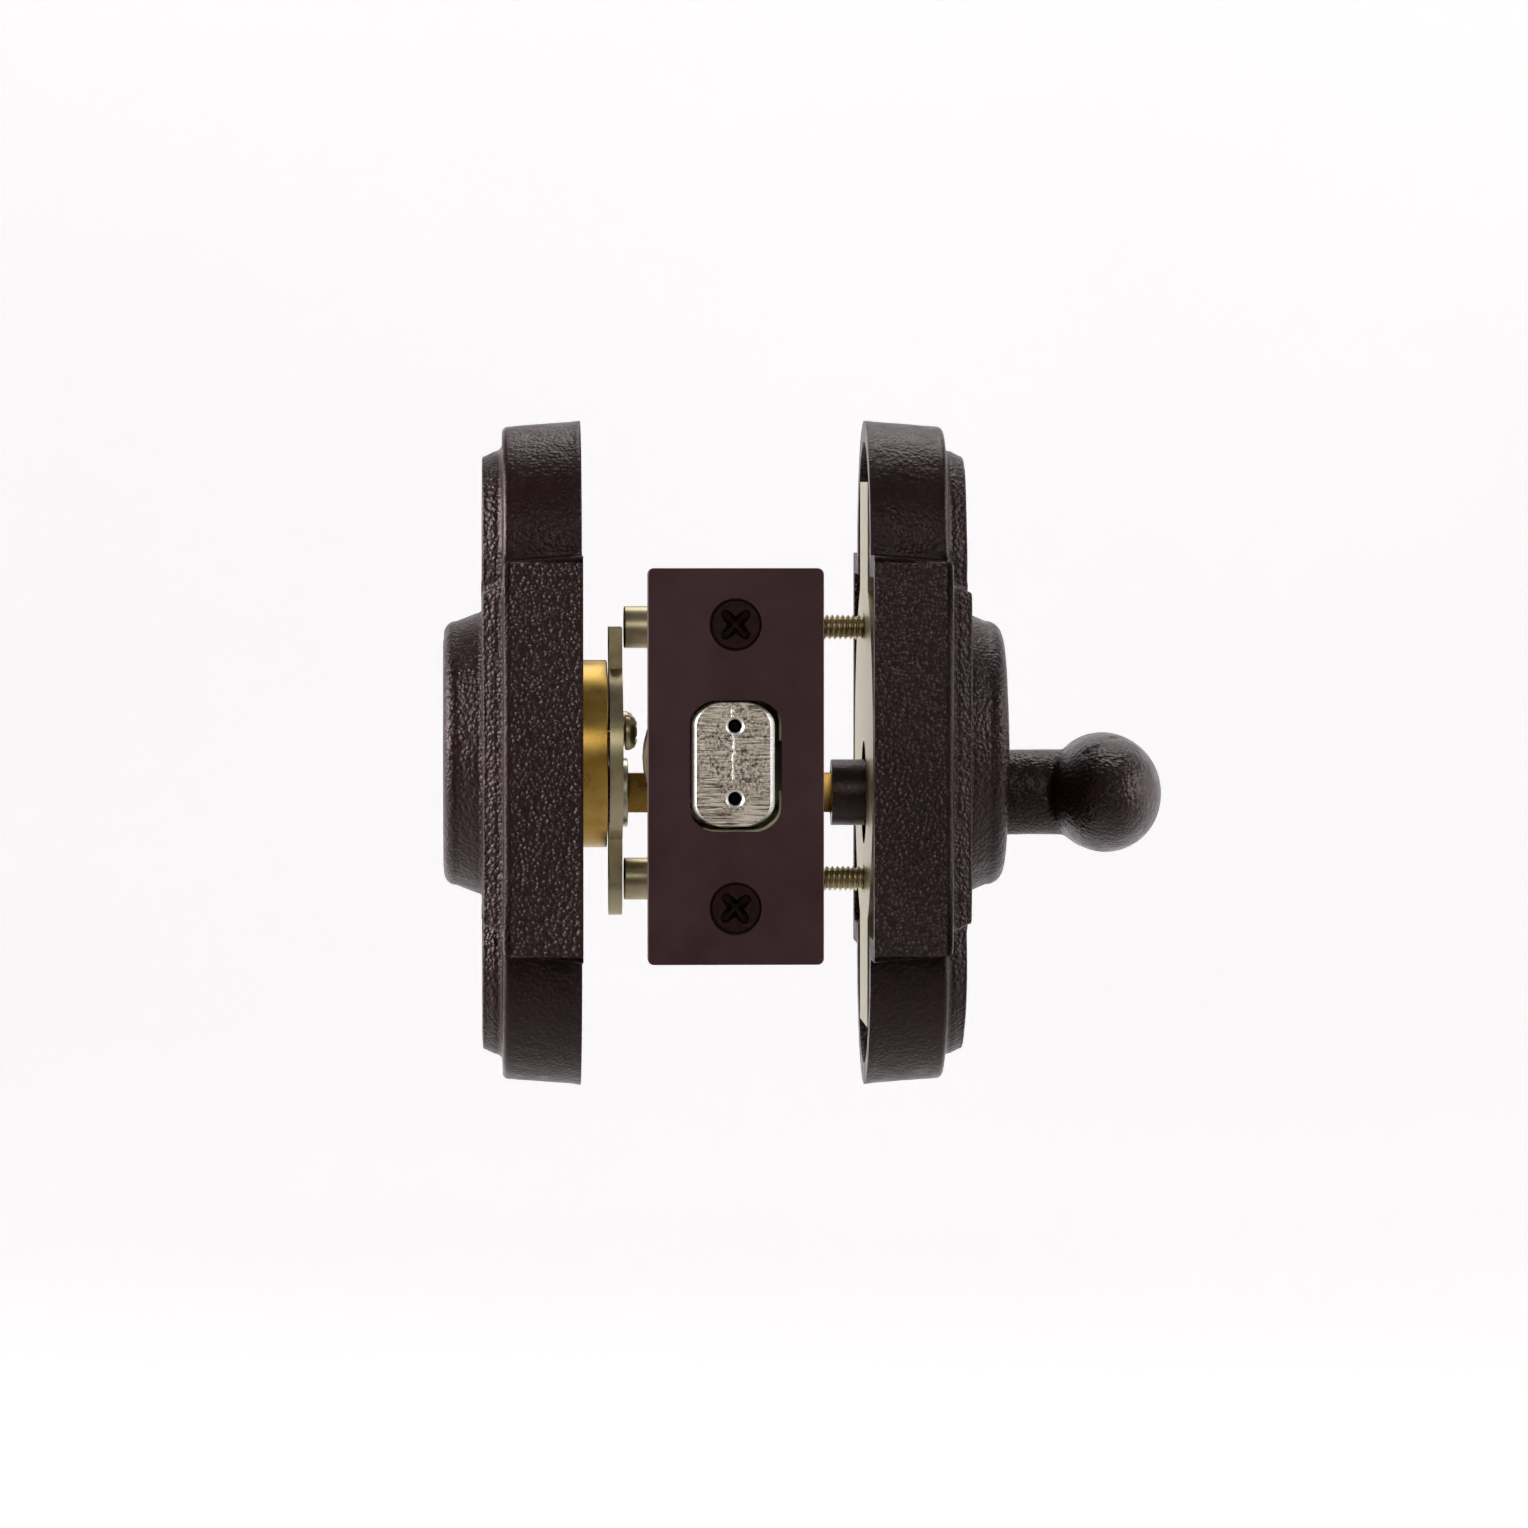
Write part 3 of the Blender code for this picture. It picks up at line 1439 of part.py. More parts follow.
def crank(carrier):
    """The crank: a hub with two detent flats, journals in the case, and two arms that carry the pin between them."""
    end = CASE_HALF_WIDTH + SEAT
    hub = turned(
        "crank",
        "X",
        [
            (-end, 0),
            (-end, JOURNAL_RADIUS),
            (-HUB_HALF_WIDTH, JOURNAL_RADIUS),
            (-HUB_HALF_WIDTH, HUB_RADIUS),
            (HUB_HALF_WIDTH, HUB_RADIUS),
            (HUB_HALF_WIDTH, JOURNAL_RADIUS),
            (end, JOURNAL_RADIUS),
            (end, 0),
        ],
        AXIS,
        steps=BORE_STEPS,
    )
    below = AXIS.z - HUB_RADIUS - REACH
    cut(
        hub,
        block(
            "hub_flat_low",
            (-HUB_HALF_WIDTH - SEAT, -HUB_RADIUS, below),
            (HUB_HALF_WIDTH + SEAT, HUB_RADIUS, AXIS.z - HUB_FLAT),
        ),
        block(
            "hub_flat_front",
            (-HUB_HALF_WIDTH - SEAT, -HUB_RADIUS - REACH, AXIS.z - HUB_RADIUS),
            (HUB_HALF_WIDTH + SEAT, -HUB_FLAT, AXIS.z + HUB_RADIUS),
        ),
    )
    inner = SLIDE_THICKNESS / 2 + SEAT
    half = ARM_WIDTH / 2
    outline = arc((CRANK_RADIUS, 0), half, -90, 90, 8) + arc((0, 0), half, 90, 270, 8)
    for name, low in (("left", -inner - ARM_THICKNESS), ("right", inner)):
        arm = sheet(
            f"arm_{name}",
            outline,
            ARM_THICKNESS,
            (low + ARM_THICKNESS / 2, 0, AXIS.z),
            (math.pi / 2, -math.pi / 4, math.pi / 2),
        )
        join(hub, arm)
    half_t, half_w = TAIL_THICKNESS / 2 + SEAT, TAIL_WIDTH / 2 + SEAT
    slot = block(
        "tailpiece_slot",
        (-end - REACH, -half_t, AXIS.z - half_w),
        (end + REACH, half_t, AXIS.z + half_w),
    )
    hole = rod(
        "crank_pin_hole",
        "X",
        CRANK_PIN_RADIUS + SEAT / 2,
        -HUB_HALF_WIDTH - REACH,
        HUB_HALF_WIDTH + REACH,
        crank_pin_place(),
        steps=PIN_STEPS,
    )
    return dress(cut(hub, slot, hole), ZINC_STEEL, carrier)


def crank_pin(carrier):
    """The pin across the crank's arms that drives the slide."""
    reach = SLIDE_THICKNESS / 2 + SEAT + ARM_THICKNESS
    pin = rod("crank_pin", "X", CRANK_PIN_RADIUS, -reach, reach, crank_pin_place(), steps=PIN_STEPS)
    return dress(pin, SPRING_STEEL, carrier)


def build():
    """Builds the outside set, the inside set and the bolt cartridge."""
    turn_joint = joint_empty("turn_joint", AXIS)
    plug_joint = joint_empty("plug_joint", AXIS)
    bolt_joint = joint_empty("bolt_joint", (0, EDGE, 0))
    exterior_rose()
    cylinder_body()
    chamber_cover()
    driver_pins()
    cylinder_clamp()
    clamp_hardware()
    mounting_plate()
    mounting_screws()
    interior_rose()
    rose_set_screw()
    faceplate()
    backing_plate()
    edge_screws()
    bolt_tube()
    case_half("case_half_outer", -1)
    case_half("case_half_inner", 1)
    case_rivets()
    detent_leaf()
    for make in (thumbturn, turn_washer, turn_clip, tailpiece, crank, crank_pin):
        make(turn_joint)
    for make in (plug, plug_clip, key_pins):
        make(plug_joint)
    for make in (bolt_head, bolt_rods, bolt_slide, slide_pin):
        make(bolt_joint)


build()
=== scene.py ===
"""Looks of a rustic deadbolt set: sand-cast dark bronze, a dark faceplate and a nickel bolt.

Everything is in metres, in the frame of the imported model: +X through the door to the inside, -Y to
the door's edge, +Z up. Cast pieces are new surfaces worked out on grids; machined pieces are turned
again or eased.
"""

from __future__ import annotations

import json
import logging
import math
from dataclasses import dataclass
from enum import Enum
from typing import Any

import bmesh
import bpy
import numpy as np
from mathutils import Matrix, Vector

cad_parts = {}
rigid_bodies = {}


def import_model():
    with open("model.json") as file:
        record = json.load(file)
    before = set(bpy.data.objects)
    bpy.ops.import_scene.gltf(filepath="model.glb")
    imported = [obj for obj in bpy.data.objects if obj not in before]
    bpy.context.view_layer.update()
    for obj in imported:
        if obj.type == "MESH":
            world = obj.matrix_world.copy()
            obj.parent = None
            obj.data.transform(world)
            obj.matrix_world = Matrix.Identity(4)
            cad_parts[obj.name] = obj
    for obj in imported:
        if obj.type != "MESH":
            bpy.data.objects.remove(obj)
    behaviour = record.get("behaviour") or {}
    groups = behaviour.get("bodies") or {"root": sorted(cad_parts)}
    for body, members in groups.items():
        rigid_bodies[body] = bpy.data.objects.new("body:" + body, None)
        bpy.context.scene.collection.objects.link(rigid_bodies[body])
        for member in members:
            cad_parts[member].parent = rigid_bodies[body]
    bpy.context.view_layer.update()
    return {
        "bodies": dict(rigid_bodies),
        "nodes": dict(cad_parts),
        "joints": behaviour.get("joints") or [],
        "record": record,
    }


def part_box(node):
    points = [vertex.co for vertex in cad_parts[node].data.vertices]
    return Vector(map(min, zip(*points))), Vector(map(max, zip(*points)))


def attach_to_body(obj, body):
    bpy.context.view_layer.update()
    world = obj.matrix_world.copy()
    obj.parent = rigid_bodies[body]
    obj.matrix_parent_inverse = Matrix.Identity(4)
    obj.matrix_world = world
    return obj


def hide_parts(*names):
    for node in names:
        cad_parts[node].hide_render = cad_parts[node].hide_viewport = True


LOG = logging.getLogger("deadbolt")
MM = 0.001
Place = tuple[float, float, float]
Flat = tuple[float, float]

# Measures that several pieces share
HALF_DOOR = 21.5 * MM
EDGE_Y = -60.3 * MM
AXIS_Z = -6.0 * MM
AXIS = (0, 0, AXIS_Z)
EDGE_SCREW_Z = 20.45 * MM
LONG_SCREW_Z = 19.05 * MM
LONG_SCREW_HOLE = 2.2 * MM
CLAMP_SCREW_Y, CLAMP_SCREW_Z = 9.0 * MM, 3.4 * MM
CLAMP_SCREW_HOLE = 1.8 * MM
GAP = 0.3 * MM  # clearance between pieces that move in each other
OVER = 1.0 * MM  # how far a cutter reaches past the face that it cuts
THIN = 0.02 * MM  # radius at which a turned solid starts and ends

FIXED, TURN, PLUG, BOLT = "fixed_set", "turn_train", "plug", "bolt"


class Side(Enum):
    """The face of the door that a rose stands on; the value is the sign of its outward X."""

    EXTERIOR = -1
    INTERIOR = 1


class Axis(Enum):
    """The axis that a turned piece runs along."""

    X = 0
    Y = 1
    Z = 2


class Section(Enum):
    """How a turned profile is closed: down to the axis at both ends, on itself, or as it is."""

    SOLID = "solid"
    RING = "ring"
    GIVEN = "given"


class Merge(Enum):
    """What happens to a piece where another one meets it."""

    CUT = "DIFFERENCE"
    JOIN = "UNION"


class Head(Enum):
    """The head of a screw."""

    COUNTERSUNK = "countersunk"
    PAN = "pan"
    NONE = "none"


def linear(hex_colour: str) -> tuple[float, float, float, float]:
    """Turns an sRGB hex colour into a linear RGBA value.

    Args:
        hex_colour: Six hex digits after a hash.

    Returns:
        The linear colour with an alpha of one.
    """
    values = [int(hex_colour[i : i + 2], 16) / 255 for i in (1, 3, 5)]
    turned = [v / 12.92 if v <= 0.04045 else ((v + 0.055) / 1.055) ** 2.4 for v in values]
    return (*turned, 1.0)


def per(millimetres: float) -> float:
    """Returns the texture scale whose features are this many millimetres wide."""
    return 1.0 / (millimetres * MM)


def connect(tree: bpy.types.NodeTree, node: bpy.types.Node, inputs: dict[Any, Any]) -> None:
    """Sets a node's inputs.

    Args:
        tree: The node tree.
        node: The node.
        inputs: Socket names or numbers, each with a value or with the output that feeds it. None
            leaves a socket as it is.
    """
    for name, value in inputs.items():
        if isinstance(value, bpy.types.NodeSocket):
            tree.links.new(value, node.inputs[name])
        elif value is not None:
            node.inputs[name].default_value = value


def add(
    tree: bpy.types.NodeTree,
    kind: str,
    inputs: dict[Any, Any] | None = None,
    out: int | str = 0,
    stops: tuple[tuple[float, str], ...] = (),
    **settings: Any,
) -> bpy.types.NodeSocket:
    """Adds one node with its settings and links.

    Args:
        tree: The node tree.
        kind: The node type's name after "ShaderNode".
        inputs: Values or feeding outputs, as in connect.
        out: The output that is wanted.
        stops: (place, hex colour) pairs of a colour ramp.
        settings: Attributes of the node.

    Returns:
        The node's output.
    """
    node = tree.nodes.new(f"ShaderNode{kind}")
    for name, value in settings.items():
        setattr(node, name, value)
    while stops and len(node.color_ramp.elements) < len(stops):
        node.color_ramp.elements.new(0.5)
    for i, (place, colour) in enumerate(stops):
        node.color_ramp.elements[i].position = place
        node.color_ramp.elements[i].color = linear(colour)
    connect(tree, node, inputs or {})
    return node.outputs[out]


def new_material(name: str) -> tuple[bpy.types.Material, bpy.types.NodeTree, bpy.types.Node]:
    """Makes a material and returns it with its tree and its Principled shader."""
    made = bpy.data.materials.new(name)
    made.use_nodes = True
    return made, made.node_tree, made.node_tree.nodes["Principled BSDF"]


@dataclass(frozen=True)
class CastBronze:
    """Sand-cast bronze under a near-black wax patina: pebbles, rubbed crests, a satin sheen.

    The pebbles follow the piece's own "pebbled" attribute: 1 on the rim's walls, weak where it was
    ground, 2 on the ledge's edge, where the light crest colour paints a highlight, and below 0 in
    bands along the rim's rounded front edge and shoulder, which are painted shade: near black,
    rougher and with less specular.
    """

    name: str = "cast_dark_bronze"
    slot: str = "cast_dark_bronze"
    dark: str = "#180707"
    warm: str = "#200b0b"
    rubbed: str = "#2a1615"
    crest: str = "#3f2e2d"
    # Painted shade: the near-black colour of the bands along the rim's rounded front edge and
    # shoulder
    painted_edge_shade: str = "#080303"
    sheen: str = "#f2dcdc"
    roughness: float = 0.27
    sandy: float = 0.12
    # Roughness in the painted shade bands
    shaded_roughness: float = 0.5
    metallic: float = 0.08
    specular: float = 0.5
    # Specular in the painted shade bands, low so that they stay black
    shaded_specular: float = 0.04
    patch: float = 11.0
    pebble: float = 0.66
    grit: float = 0.26
    lump: float = 2.2
    gloss: float = 2.6

    def material(self) -> bpy.types.Material:
        """Builds the patches of patina, the pebbles and grit as bump, the uneven sheen, and the
        painted shade and painted highlight along the rim's edges.
        """
        made, tree, shader = new_material(self.name)
        where = add(tree, "TexCoord", out="Object")
        amount = add(tree, "Attribute", out="Fac", attribute_name="pebbled")
        around = {"Vector": where, "Roughness": 0.6}
        patches = add(tree, "TexNoise", around | {"Scale": per(self.patch), "Detail": 4.0})
        stops = ((0.30, self.dark), (0.62, self.warm), (0.80, self.rubbed))
        skin = add(tree, "ValToRGB", {"Fac": patches}, stops=stops)
        bent = {"Vector": where, "Scale": per(0.9), "Detail": 1.0}
        bent = {0: add(tree, "TexNoise", bent, "Color"), 1: (0.5 * MM,) * 3, 2: where}
        shifted = add(tree, "VectorMath", bent, operation="MULTIPLY_ADD")
        cells = {"Vector": shifted, "Scale": per(self.pebble), "Randomness": 1.0}
        cells = add(tree, "TexVoronoi", cells, "Distance")
        tops = add(tree, "MapRange", {0: cells, 1: 0.10, 2: 0.75, 3: 1.0, 4: 0.0})
        pebbles = add(tree, "Math", {0: tops, 1: amount}, operation="MULTIPLY")
        # Lighter crest colour: wear on the pebbles' tops; where the attribute is 2, on the ledge's
        # edge, a painted highlight
        crests = add(tree, "MapRange", {0: pebbles, 1: 0.55, 2: 1.2, 3: 0.0, 4: 0.8})
        colour = {0: crests, 6: skin, 7: linear(self.crest)}
        colour = add(tree, "Mix", colour, 2, data_type="RGBA")
        # Painted shade: below 0 the attribute mixes in the near-black colour
        painted_shade = add(tree, "MapRange", {0: amount, 1: -1.0, 2: 0.0, 3: 1.0, 4: 0.0})
        colour = {0: painted_shade, 6: colour, 7: linear(self.painted_edge_shade)}
        colour = add(tree, "Mix", colour, 2, data_type="RGBA")
        lumps = add(tree, "TexNoise", {"Vector": where, "Scale": per(self.lump), "Detail": 2.0})
        grains = add(tree, "TexNoise", around | {"Scale": per(self.grit), "Detail": 2.0})
        normal = None
        reliefs = ((lumps, 0.16, 0.8), (pebbles, 0.27, 1.0), (grains, 0.07, 0.8))
        for height, tall, strength in reliefs:
            relief = {"Height": height, "Distance": tall * MM, "Strength": strength}
            normal = add(tree, "Bump", relief | {"Normal": normal})
        gloss = add(tree, "TexNoise", {"Vector": where, "Scale": per(self.gloss), "Detail": 3.0})
        low, high = self.roughness - 0.05, self.roughness + 0.10
        satin = add(tree, "MapRange", {0: gloss, 1: 0.3, 2: 0.7, 3: low, 4: high})
        sandy = add(tree, "MapRange", {0: amount, 3: 0.0, 4: self.sandy})
        satin = add(tree, "Math", {0: sandy, 1: satin}, operation="ADD")
        # Roughness and specular follow the painted shade too: rougher and less specular in its bands
        rough = {0: painted_shade, 1: self.shaded_roughness, 2: satin}
        gleam = add(tree, "MapRange", {0: painted_shade, 3: self.specular, 4: self.shaded_specular})
        shader.inputs["Specular IOR Level"].default_value = self.specular
        finish = {
            "Base Color": colour,
            "Roughness": add(tree, "Math", rough, operation="MULTIPLY_ADD"),
            "Normal": normal,
            "Metallic": self.metallic,
            "Specular IOR Level": gleam,
            "Specular Tint": linear(self.sheen),
        }
        connect(tree, shader, finish)
        return made


@dataclass(frozen=True)
class WorkedMetal:
    """A metal that was turned, stamped, drawn or plated: fine lines and a clouded sheen.

    Lines and clouds are given in millimetres; the lines run where their stretch is small. A dark
    coat covers whatever lies further out on X than coated_to.
    """

    name: str
    slot: str
    dark: str
    light: str
    roughness: float
    stretch: Place = (1.0, 0.15, 0.15)
    line: float = 0.14
    line_detail: float = 2.0
    line_height: float = 0.006
    cloud: float = 4.0
    cloud_roughness: float = 0.6
    stops: Flat = (0.3, 0.7)
    uneven: Flat = (-0.06, 0.08)
    metallic: float = 1.0
    specular: float = 0.5
    coated_to: float | None = None
    coat: str = "#1b0b0b"
    coat_metallic: float = 0.12

    def material(self) -> bpy.types.Material:
        """Builds the lines as bump, the clouds in colour and roughness, and the coat."""
        made, tree, shader = new_material(self.name)
        where = add(tree, "TexCoord", out="Object")
        along = add(tree, "Mapping", {"Vector": where, "Scale": self.stretch})
        lines = {"Vector": along, "Scale": per(self.line), "Detail": self.line_detail}
        lines = add(tree, "TexNoise", lines)
        cloud = {"Vector": where, "Scale": per(self.cloud), "Detail": 4.0}
        cloud = add(tree, "TexNoise", cloud | {"Roughness": self.cloud_roughness})
        stops = tuple(zip(self.stops, (self.dark, self.light)))
        colour = add(tree, "ValToRGB", {"Fac": cloud}, stops=stops)
        low, high = (self.roughness + step for step in self.uneven)
        metallic = self.metallic
        if self.coated_to is not None:
            x = add(tree, "SeparateXYZ", {"Vector": where}, "X")
            start, end = self.coated_to - 0.1 * MM, self.coated_to + 0.1 * MM
            coated = add(tree, "MapRange", {0: x, 1: start, 2: end, 3: 1.0, 4: 0.0})
            colour = {0: coated, 6: colour, 7: linear(self.coat)}
            colour = add(tree, "Mix", colour, 2, data_type="RGBA")
            metallic = add(tree, "MapRange", {0: coated, 3: 1.0, 4: self.coat_metallic})
        relief = {"Height": lines, "Distance": self.line_height * MM, "Strength": 0.5}
        finish = {
            "Base Color": colour,
            "Roughness": add(tree, "MapRange", {0: cloud, 1: 0.3, 2: 0.7, 3: low, 4: high}),
            "Normal": add(tree, "Bump", relief),
            "Metallic": metallic,
            "Specular IOR Level": self.specular,
        }
        connect(tree, shader, finish)
        return made


@dataclass(frozen=True)
class BrushedNickel:
    """Nickel-plated steel bolt: a sawn end with broken bright lines and one light scored line."""

    name: str = "brushed_nickel"
    slot: str = "brushed_nickel"
    dark: str = "#6a5d4f"
    light: str = "#fff2de"
    burnished: str = "#fffcf6"
    roughness: float = 0.42
    saw: float = 0.30
    crumb: float = 0.36
    patch: float = 4.5
    drawn: float = 0.5
    score_x: float = -0.35 * MM
    score_width: float = 0.17 * MM
    score_low: float = -1.9 * MM
    score_high: float = 8.3 * MM
    wander: float = 0.25 * MM

    def relief(
        self, tree: bpy.types.NodeTree, where: bpy.types.NodeSocket, facing: bpy.types.NodeSocket
    ) -> bpy.types.NodeSocket:
        """Builds the saw lines across X and crumbly patches of the end, and the sides' drawn lines.

        Args:
            tree: The node tree.
            where: Object coordinates.
            facing: The normal's Y, which is -1 on the sawn end.

        Returns:
            The lines' height, from 0 to 1.
        """
        across = add(tree, "Mapping", {"Vector": where, "Scale": (0.07, 0.07, 1.0)})
        saw = {"Vector": across, "Scale": per(self.saw), "Detail": 3.0, "Roughness": 0.6}
        saw = add(tree, "TexNoise", saw)
        crumbs = {"Vector": where, "Scale": per(self.crumb), "Detail": 3.0, "Roughness": 0.6}
        crumbs = add(tree, "TexNoise", crumbs)
        patch = add(tree, "TexNoise", {"Vector": where, "Scale": per(self.patch), "Detail": 1.0})
        patch = add(tree, "MapRange", {0: patch, 1: 0.42, 2: 0.62, 3: 0.05, 4: 0.8})
        mixed = add(tree, "Mix", {0: patch, 2: saw, 3: crumbs}, data_type="FLOAT")
        sawn = add(tree, "MapRange", {0: facing, 1: -0.9, 2: -0.6, 3: 1.0, 4: 0.0})
        along = add(tree, "Mapping", {"Vector": where, "Scale": (1.0, 0.04, 1.0)})
        drawn = add(tree, "TexNoise", {"Vector": along, "Scale": per(self.drawn), "Detail": 2.0})
        drawn = add(tree, "MapRange", {0: drawn, 1: 0.3, 2: 0.7, 3: 0.50, 4: 0.72})
        lines = add(tree, "MapRange", {0: mixed, 1: 0.36, 2: 0.62, 3: 0.0, 4: 1.0})
        return add(tree, "Mix", {0: sawn, 2: drawn, 3: lines}, data_type="FLOAT")

    def score(
        self, tree: bpy.types.NodeTree, where: bpy.types.NodeSocket
    ) -> bpy.types.NodeSocket:
        """Builds the scored line along Z: 1 on it and 0 off it.

        Args:
            tree: The node tree.
            where: Object coordinates.

        Returns:
            How much of the line is at a place.
        """
        bend = add(tree, "TexNoise", {"Vector": where, "Scale": per(1.4), "Detail": 2.0})
        bend = {0: bend, 1: 0.3, 2: 0.7, 3: -self.wander, 4: self.wander}
        bend = add(tree, "MapRange", bend)
        middle = (self.score_low + self.score_high) / 2
        reach = (self.score_high - self.score_low) / 2
        shares = []
        for row, start, offset, inner, outer in (
            ("X", self.score_x, bend, self.score_width / 2, self.score_width),
            ("Z", middle, 0.0, reach - 0.2 * MM, reach),
        ):
            place = add(tree, "SeparateXYZ", {"Vector": where}, row)
            place = add(tree, "Math", {0: place, 1: -start}, operation="ADD")
            place = add(tree, "Math", {0: place, 1: offset}, operation="ADD")
            away = add(tree, "Math", {0: place}, operation="ABSOLUTE")
            shares.append(add(tree, "MapRange", {0: away, 1: inner, 2: outer, 3: 1.0, 4: 0.0}))
        return add(tree, "Math", dict(enumerate(shares)), operation="MULTIPLY")

    def material(self) -> bpy.types.Material:
        """Builds the lines, the score and the burnished bevels.

        The normal tells the end, which faces -Y, from a bevel, which leans away from it, and from
        the sides, where the plating only has faint lines along the bar.
        """
        made, tree, shader = new_material(self.name)
        where = add(tree, "TexCoord", out="Object")
        facing = add(tree, "TexCoord", out="Normal")
        facing = add(tree, "SeparateXYZ", {"Vector": facing}, "Y")
        lines, score = self.relief(tree, where, facing), self.score(tree, where)
        off_end = add(tree, "MapRange", {0: facing, 1: -0.97, 2: -0.92, 3: 0.0, 4: 1.0})
        off_side = add(tree, "MapRange", {0: facing, 1: -0.35, 2: -0.2, 3: 1.0, 4: 0.0})
        bevel = add(tree, "Math", {0: off_end, 1: off_side}, operation="MULTIPLY")
        bright = add(tree, "Math", {0: score, 1: bevel}, operation="MAXIMUM")
        stops = ((0.10, self.dark), (0.85, self.light))
        colour = add(tree, "ValToRGB", {"Fac": lines}, stops=stops)
        colour = {0: bright, 6: colour, 7: linear(self.burnished)}
        rough = {0: bright, 3: self.roughness, 4: self.roughness + 0.06}
        normal = {"Height": lines, "Distance": 0.05 * MM, "Strength": 0.7}
        ridge = {"Height": score, "Distance": 0.12 * MM, "Strength": 1.0}
        finish = {
            "Base Color": add(tree, "Mix", colour, 2, data_type="RGBA"),
            "Roughness": add(tree, "MapRange", rough),
            "Normal": add(tree, "Bump", ridge | {"Normal": add(tree, "Bump", normal)}),
            "Metallic": 1.0,
        }
        connect(tree, shader, finish)
        return made


CAST = CastBronze()
# The same bronze where hands polish it: a glossier wax
HANDLED = CastBronze(name="hand_polished_dark_bronze", roughness=0.24, specular=0.6)
# Brass plate with a dark brown oil-rubbed finish: flat, satin, with a fine grain along its width
PLATE = WorkedMetal(
    "dark_bronze_plate",
    "dark_bronze_plate",
    "#402526",
    "#4a2e2f",
    0.45,
    stretch=(0.06, 1.0, 1.0),
    line=0.22,
    line_height=0.008,
    cloud=7.0,
    stops=(0.32, 0.68),
    uneven=(-0.05, 0.07),
    metallic=0.4,
)
# Steel screw with a black-brown oxide finish: faint wear and tumbling marks
SCREW = WorkedMetal(
    "dark_screw",
    "dark_screw",
    "#240d0d",
    "#361c1b",
    0.40,
    stretch=(1.0, 1.0, 1.0),
    line=0.18,
    line_detail=1.0,
    cloud=0.9,
    cloud_roughness=0.65,
    stops=(0.45, 0.78),
    uneven=(-0.06, 0.12),
    metallic=0.3,
    specular=0.2,
)
NICKEL = BrushedNickel()
BRASS_COLOURS = ("#a9853f", "#c9a457", 0.30)
# Free-machining brass: yellow, with turning lines round X
BRASS = WorkedMetal("brass", "brass", *BRASS_COLOURS)
# The same brass with the roses' dark patina on its outside head, as far in as the head reaches
COATED_BRASS = WorkedMetal("patinated_brass", "brass", *BRASS_COLOURS, coated_to=-40.1 * MM)
SILVER_COLOURS = ("#aaa495", "#cfc9b9", 0.27)
# Nickel silver: pale and slightly warm
NICKEL_SILVER = WorkedMetal("nickel_silver", "nickel_silver", *SILVER_COLOURS)
# The same on the plug, whose outside end has the patina up to its edge
COATED_SILVER = WorkedMetal(
    "patinated_nickel_silver",
    "nickel_silver",
    *SILVER_COLOURS,
    coated_to=-42.0 * MM,
    coat="#2a1412",
)
STAMPED = {"slot": "zinc_plated_steel", "stretch": (0.3, 0.3, 1.0), "cloud": 6.0}
# Yellow zinc plating on stamped steel: warm grey with a faint gold cast and broad clouds
ZINC = WorkedMetal("zinc_plated_steel", dark="#9c8f6c", light="#c8bd9c", roughness=0.33, **STAMPED)
# A paler copy of the same plating, a painted highlight so that its lip shines beside the bolt
BRIGHT_ZINC = WorkedMetal(
    "painted_highlight_zinc_plate", dark="#e6dcb8", light="#fff9de", roughness=0.6, **STAMPED
)
# Drawn spring steel: neutral and bright
SPRING = WorkedMetal(
    "spring_steel", "spring_steel", "#80807f", "#a9a9aa", 0.25, (1.0, 1.0, 0.1), cloud=2.0
)
# Hardened rods left black from the furnace: a dark satin scale
BLACK_ROD = WorkedMetal(
    "hardened_black_steel", "spring_steel", "#0d0c0c", "#1c1a19", 0.45, (1.0, 0.1, 1.0), cloud=2.0
)
Finish = CastBronze | WorkedMetal | BrushedNickel
LIBRARY: dict[str, bpy.types.Material] = {}


def dressed(mesh: bpy.types.Mesh, finish: Finish) -> None:
    """Gives a mesh its finish, whose material is built the first time that it is asked for."""
    if finish.name not in LIBRARY:
        LIBRARY[finish.name] = finish.material()
    mesh.materials.clear()
    mesh.materials.append(LIBRARY[finish.name])


def lattice(points: np.ndarray, cell: float, seed: int) -> np.ndarray:
    """Smooth value noise: hashed values at a cubic lattice's corners, blended by a smoothstep.

    Args:
        points: Places, one row each.
        cell: The lattice's spacing in metres.
        seed: Picks another pattern.

    Returns:
        One value from 0 to 1 for each place.
    """
    scaled = points / cell
    corner = np.floor(scaled).astype(np.int64)
    part = scaled - corner
    part = part * part * (3 - 2 * part)
    total = np.zeros(len(points))
    primes = (73856093, 19349663, 83492791)
    for offset in np.ndindex(2, 2, 2):
        key = (corner + np.array(offset)) * primes
        mixed = (key[:, 0] ^ key[:, 1] ^ key[:, 2] ^ seed * 2654435761) & 0xFFFFFFFF
        mixed = ((mixed ^ (mixed >> 13)) * 1274126177) & 0xFFFFFFFF
        mixed = mixed ^ (mixed >> 16)
        weight = np.prod(np.where(np.array(offset) == 1, part, 1 - part), axis=1)
        total += weight * (mixed & 0xFFFFFF) / 0xFFFFFF
    return total


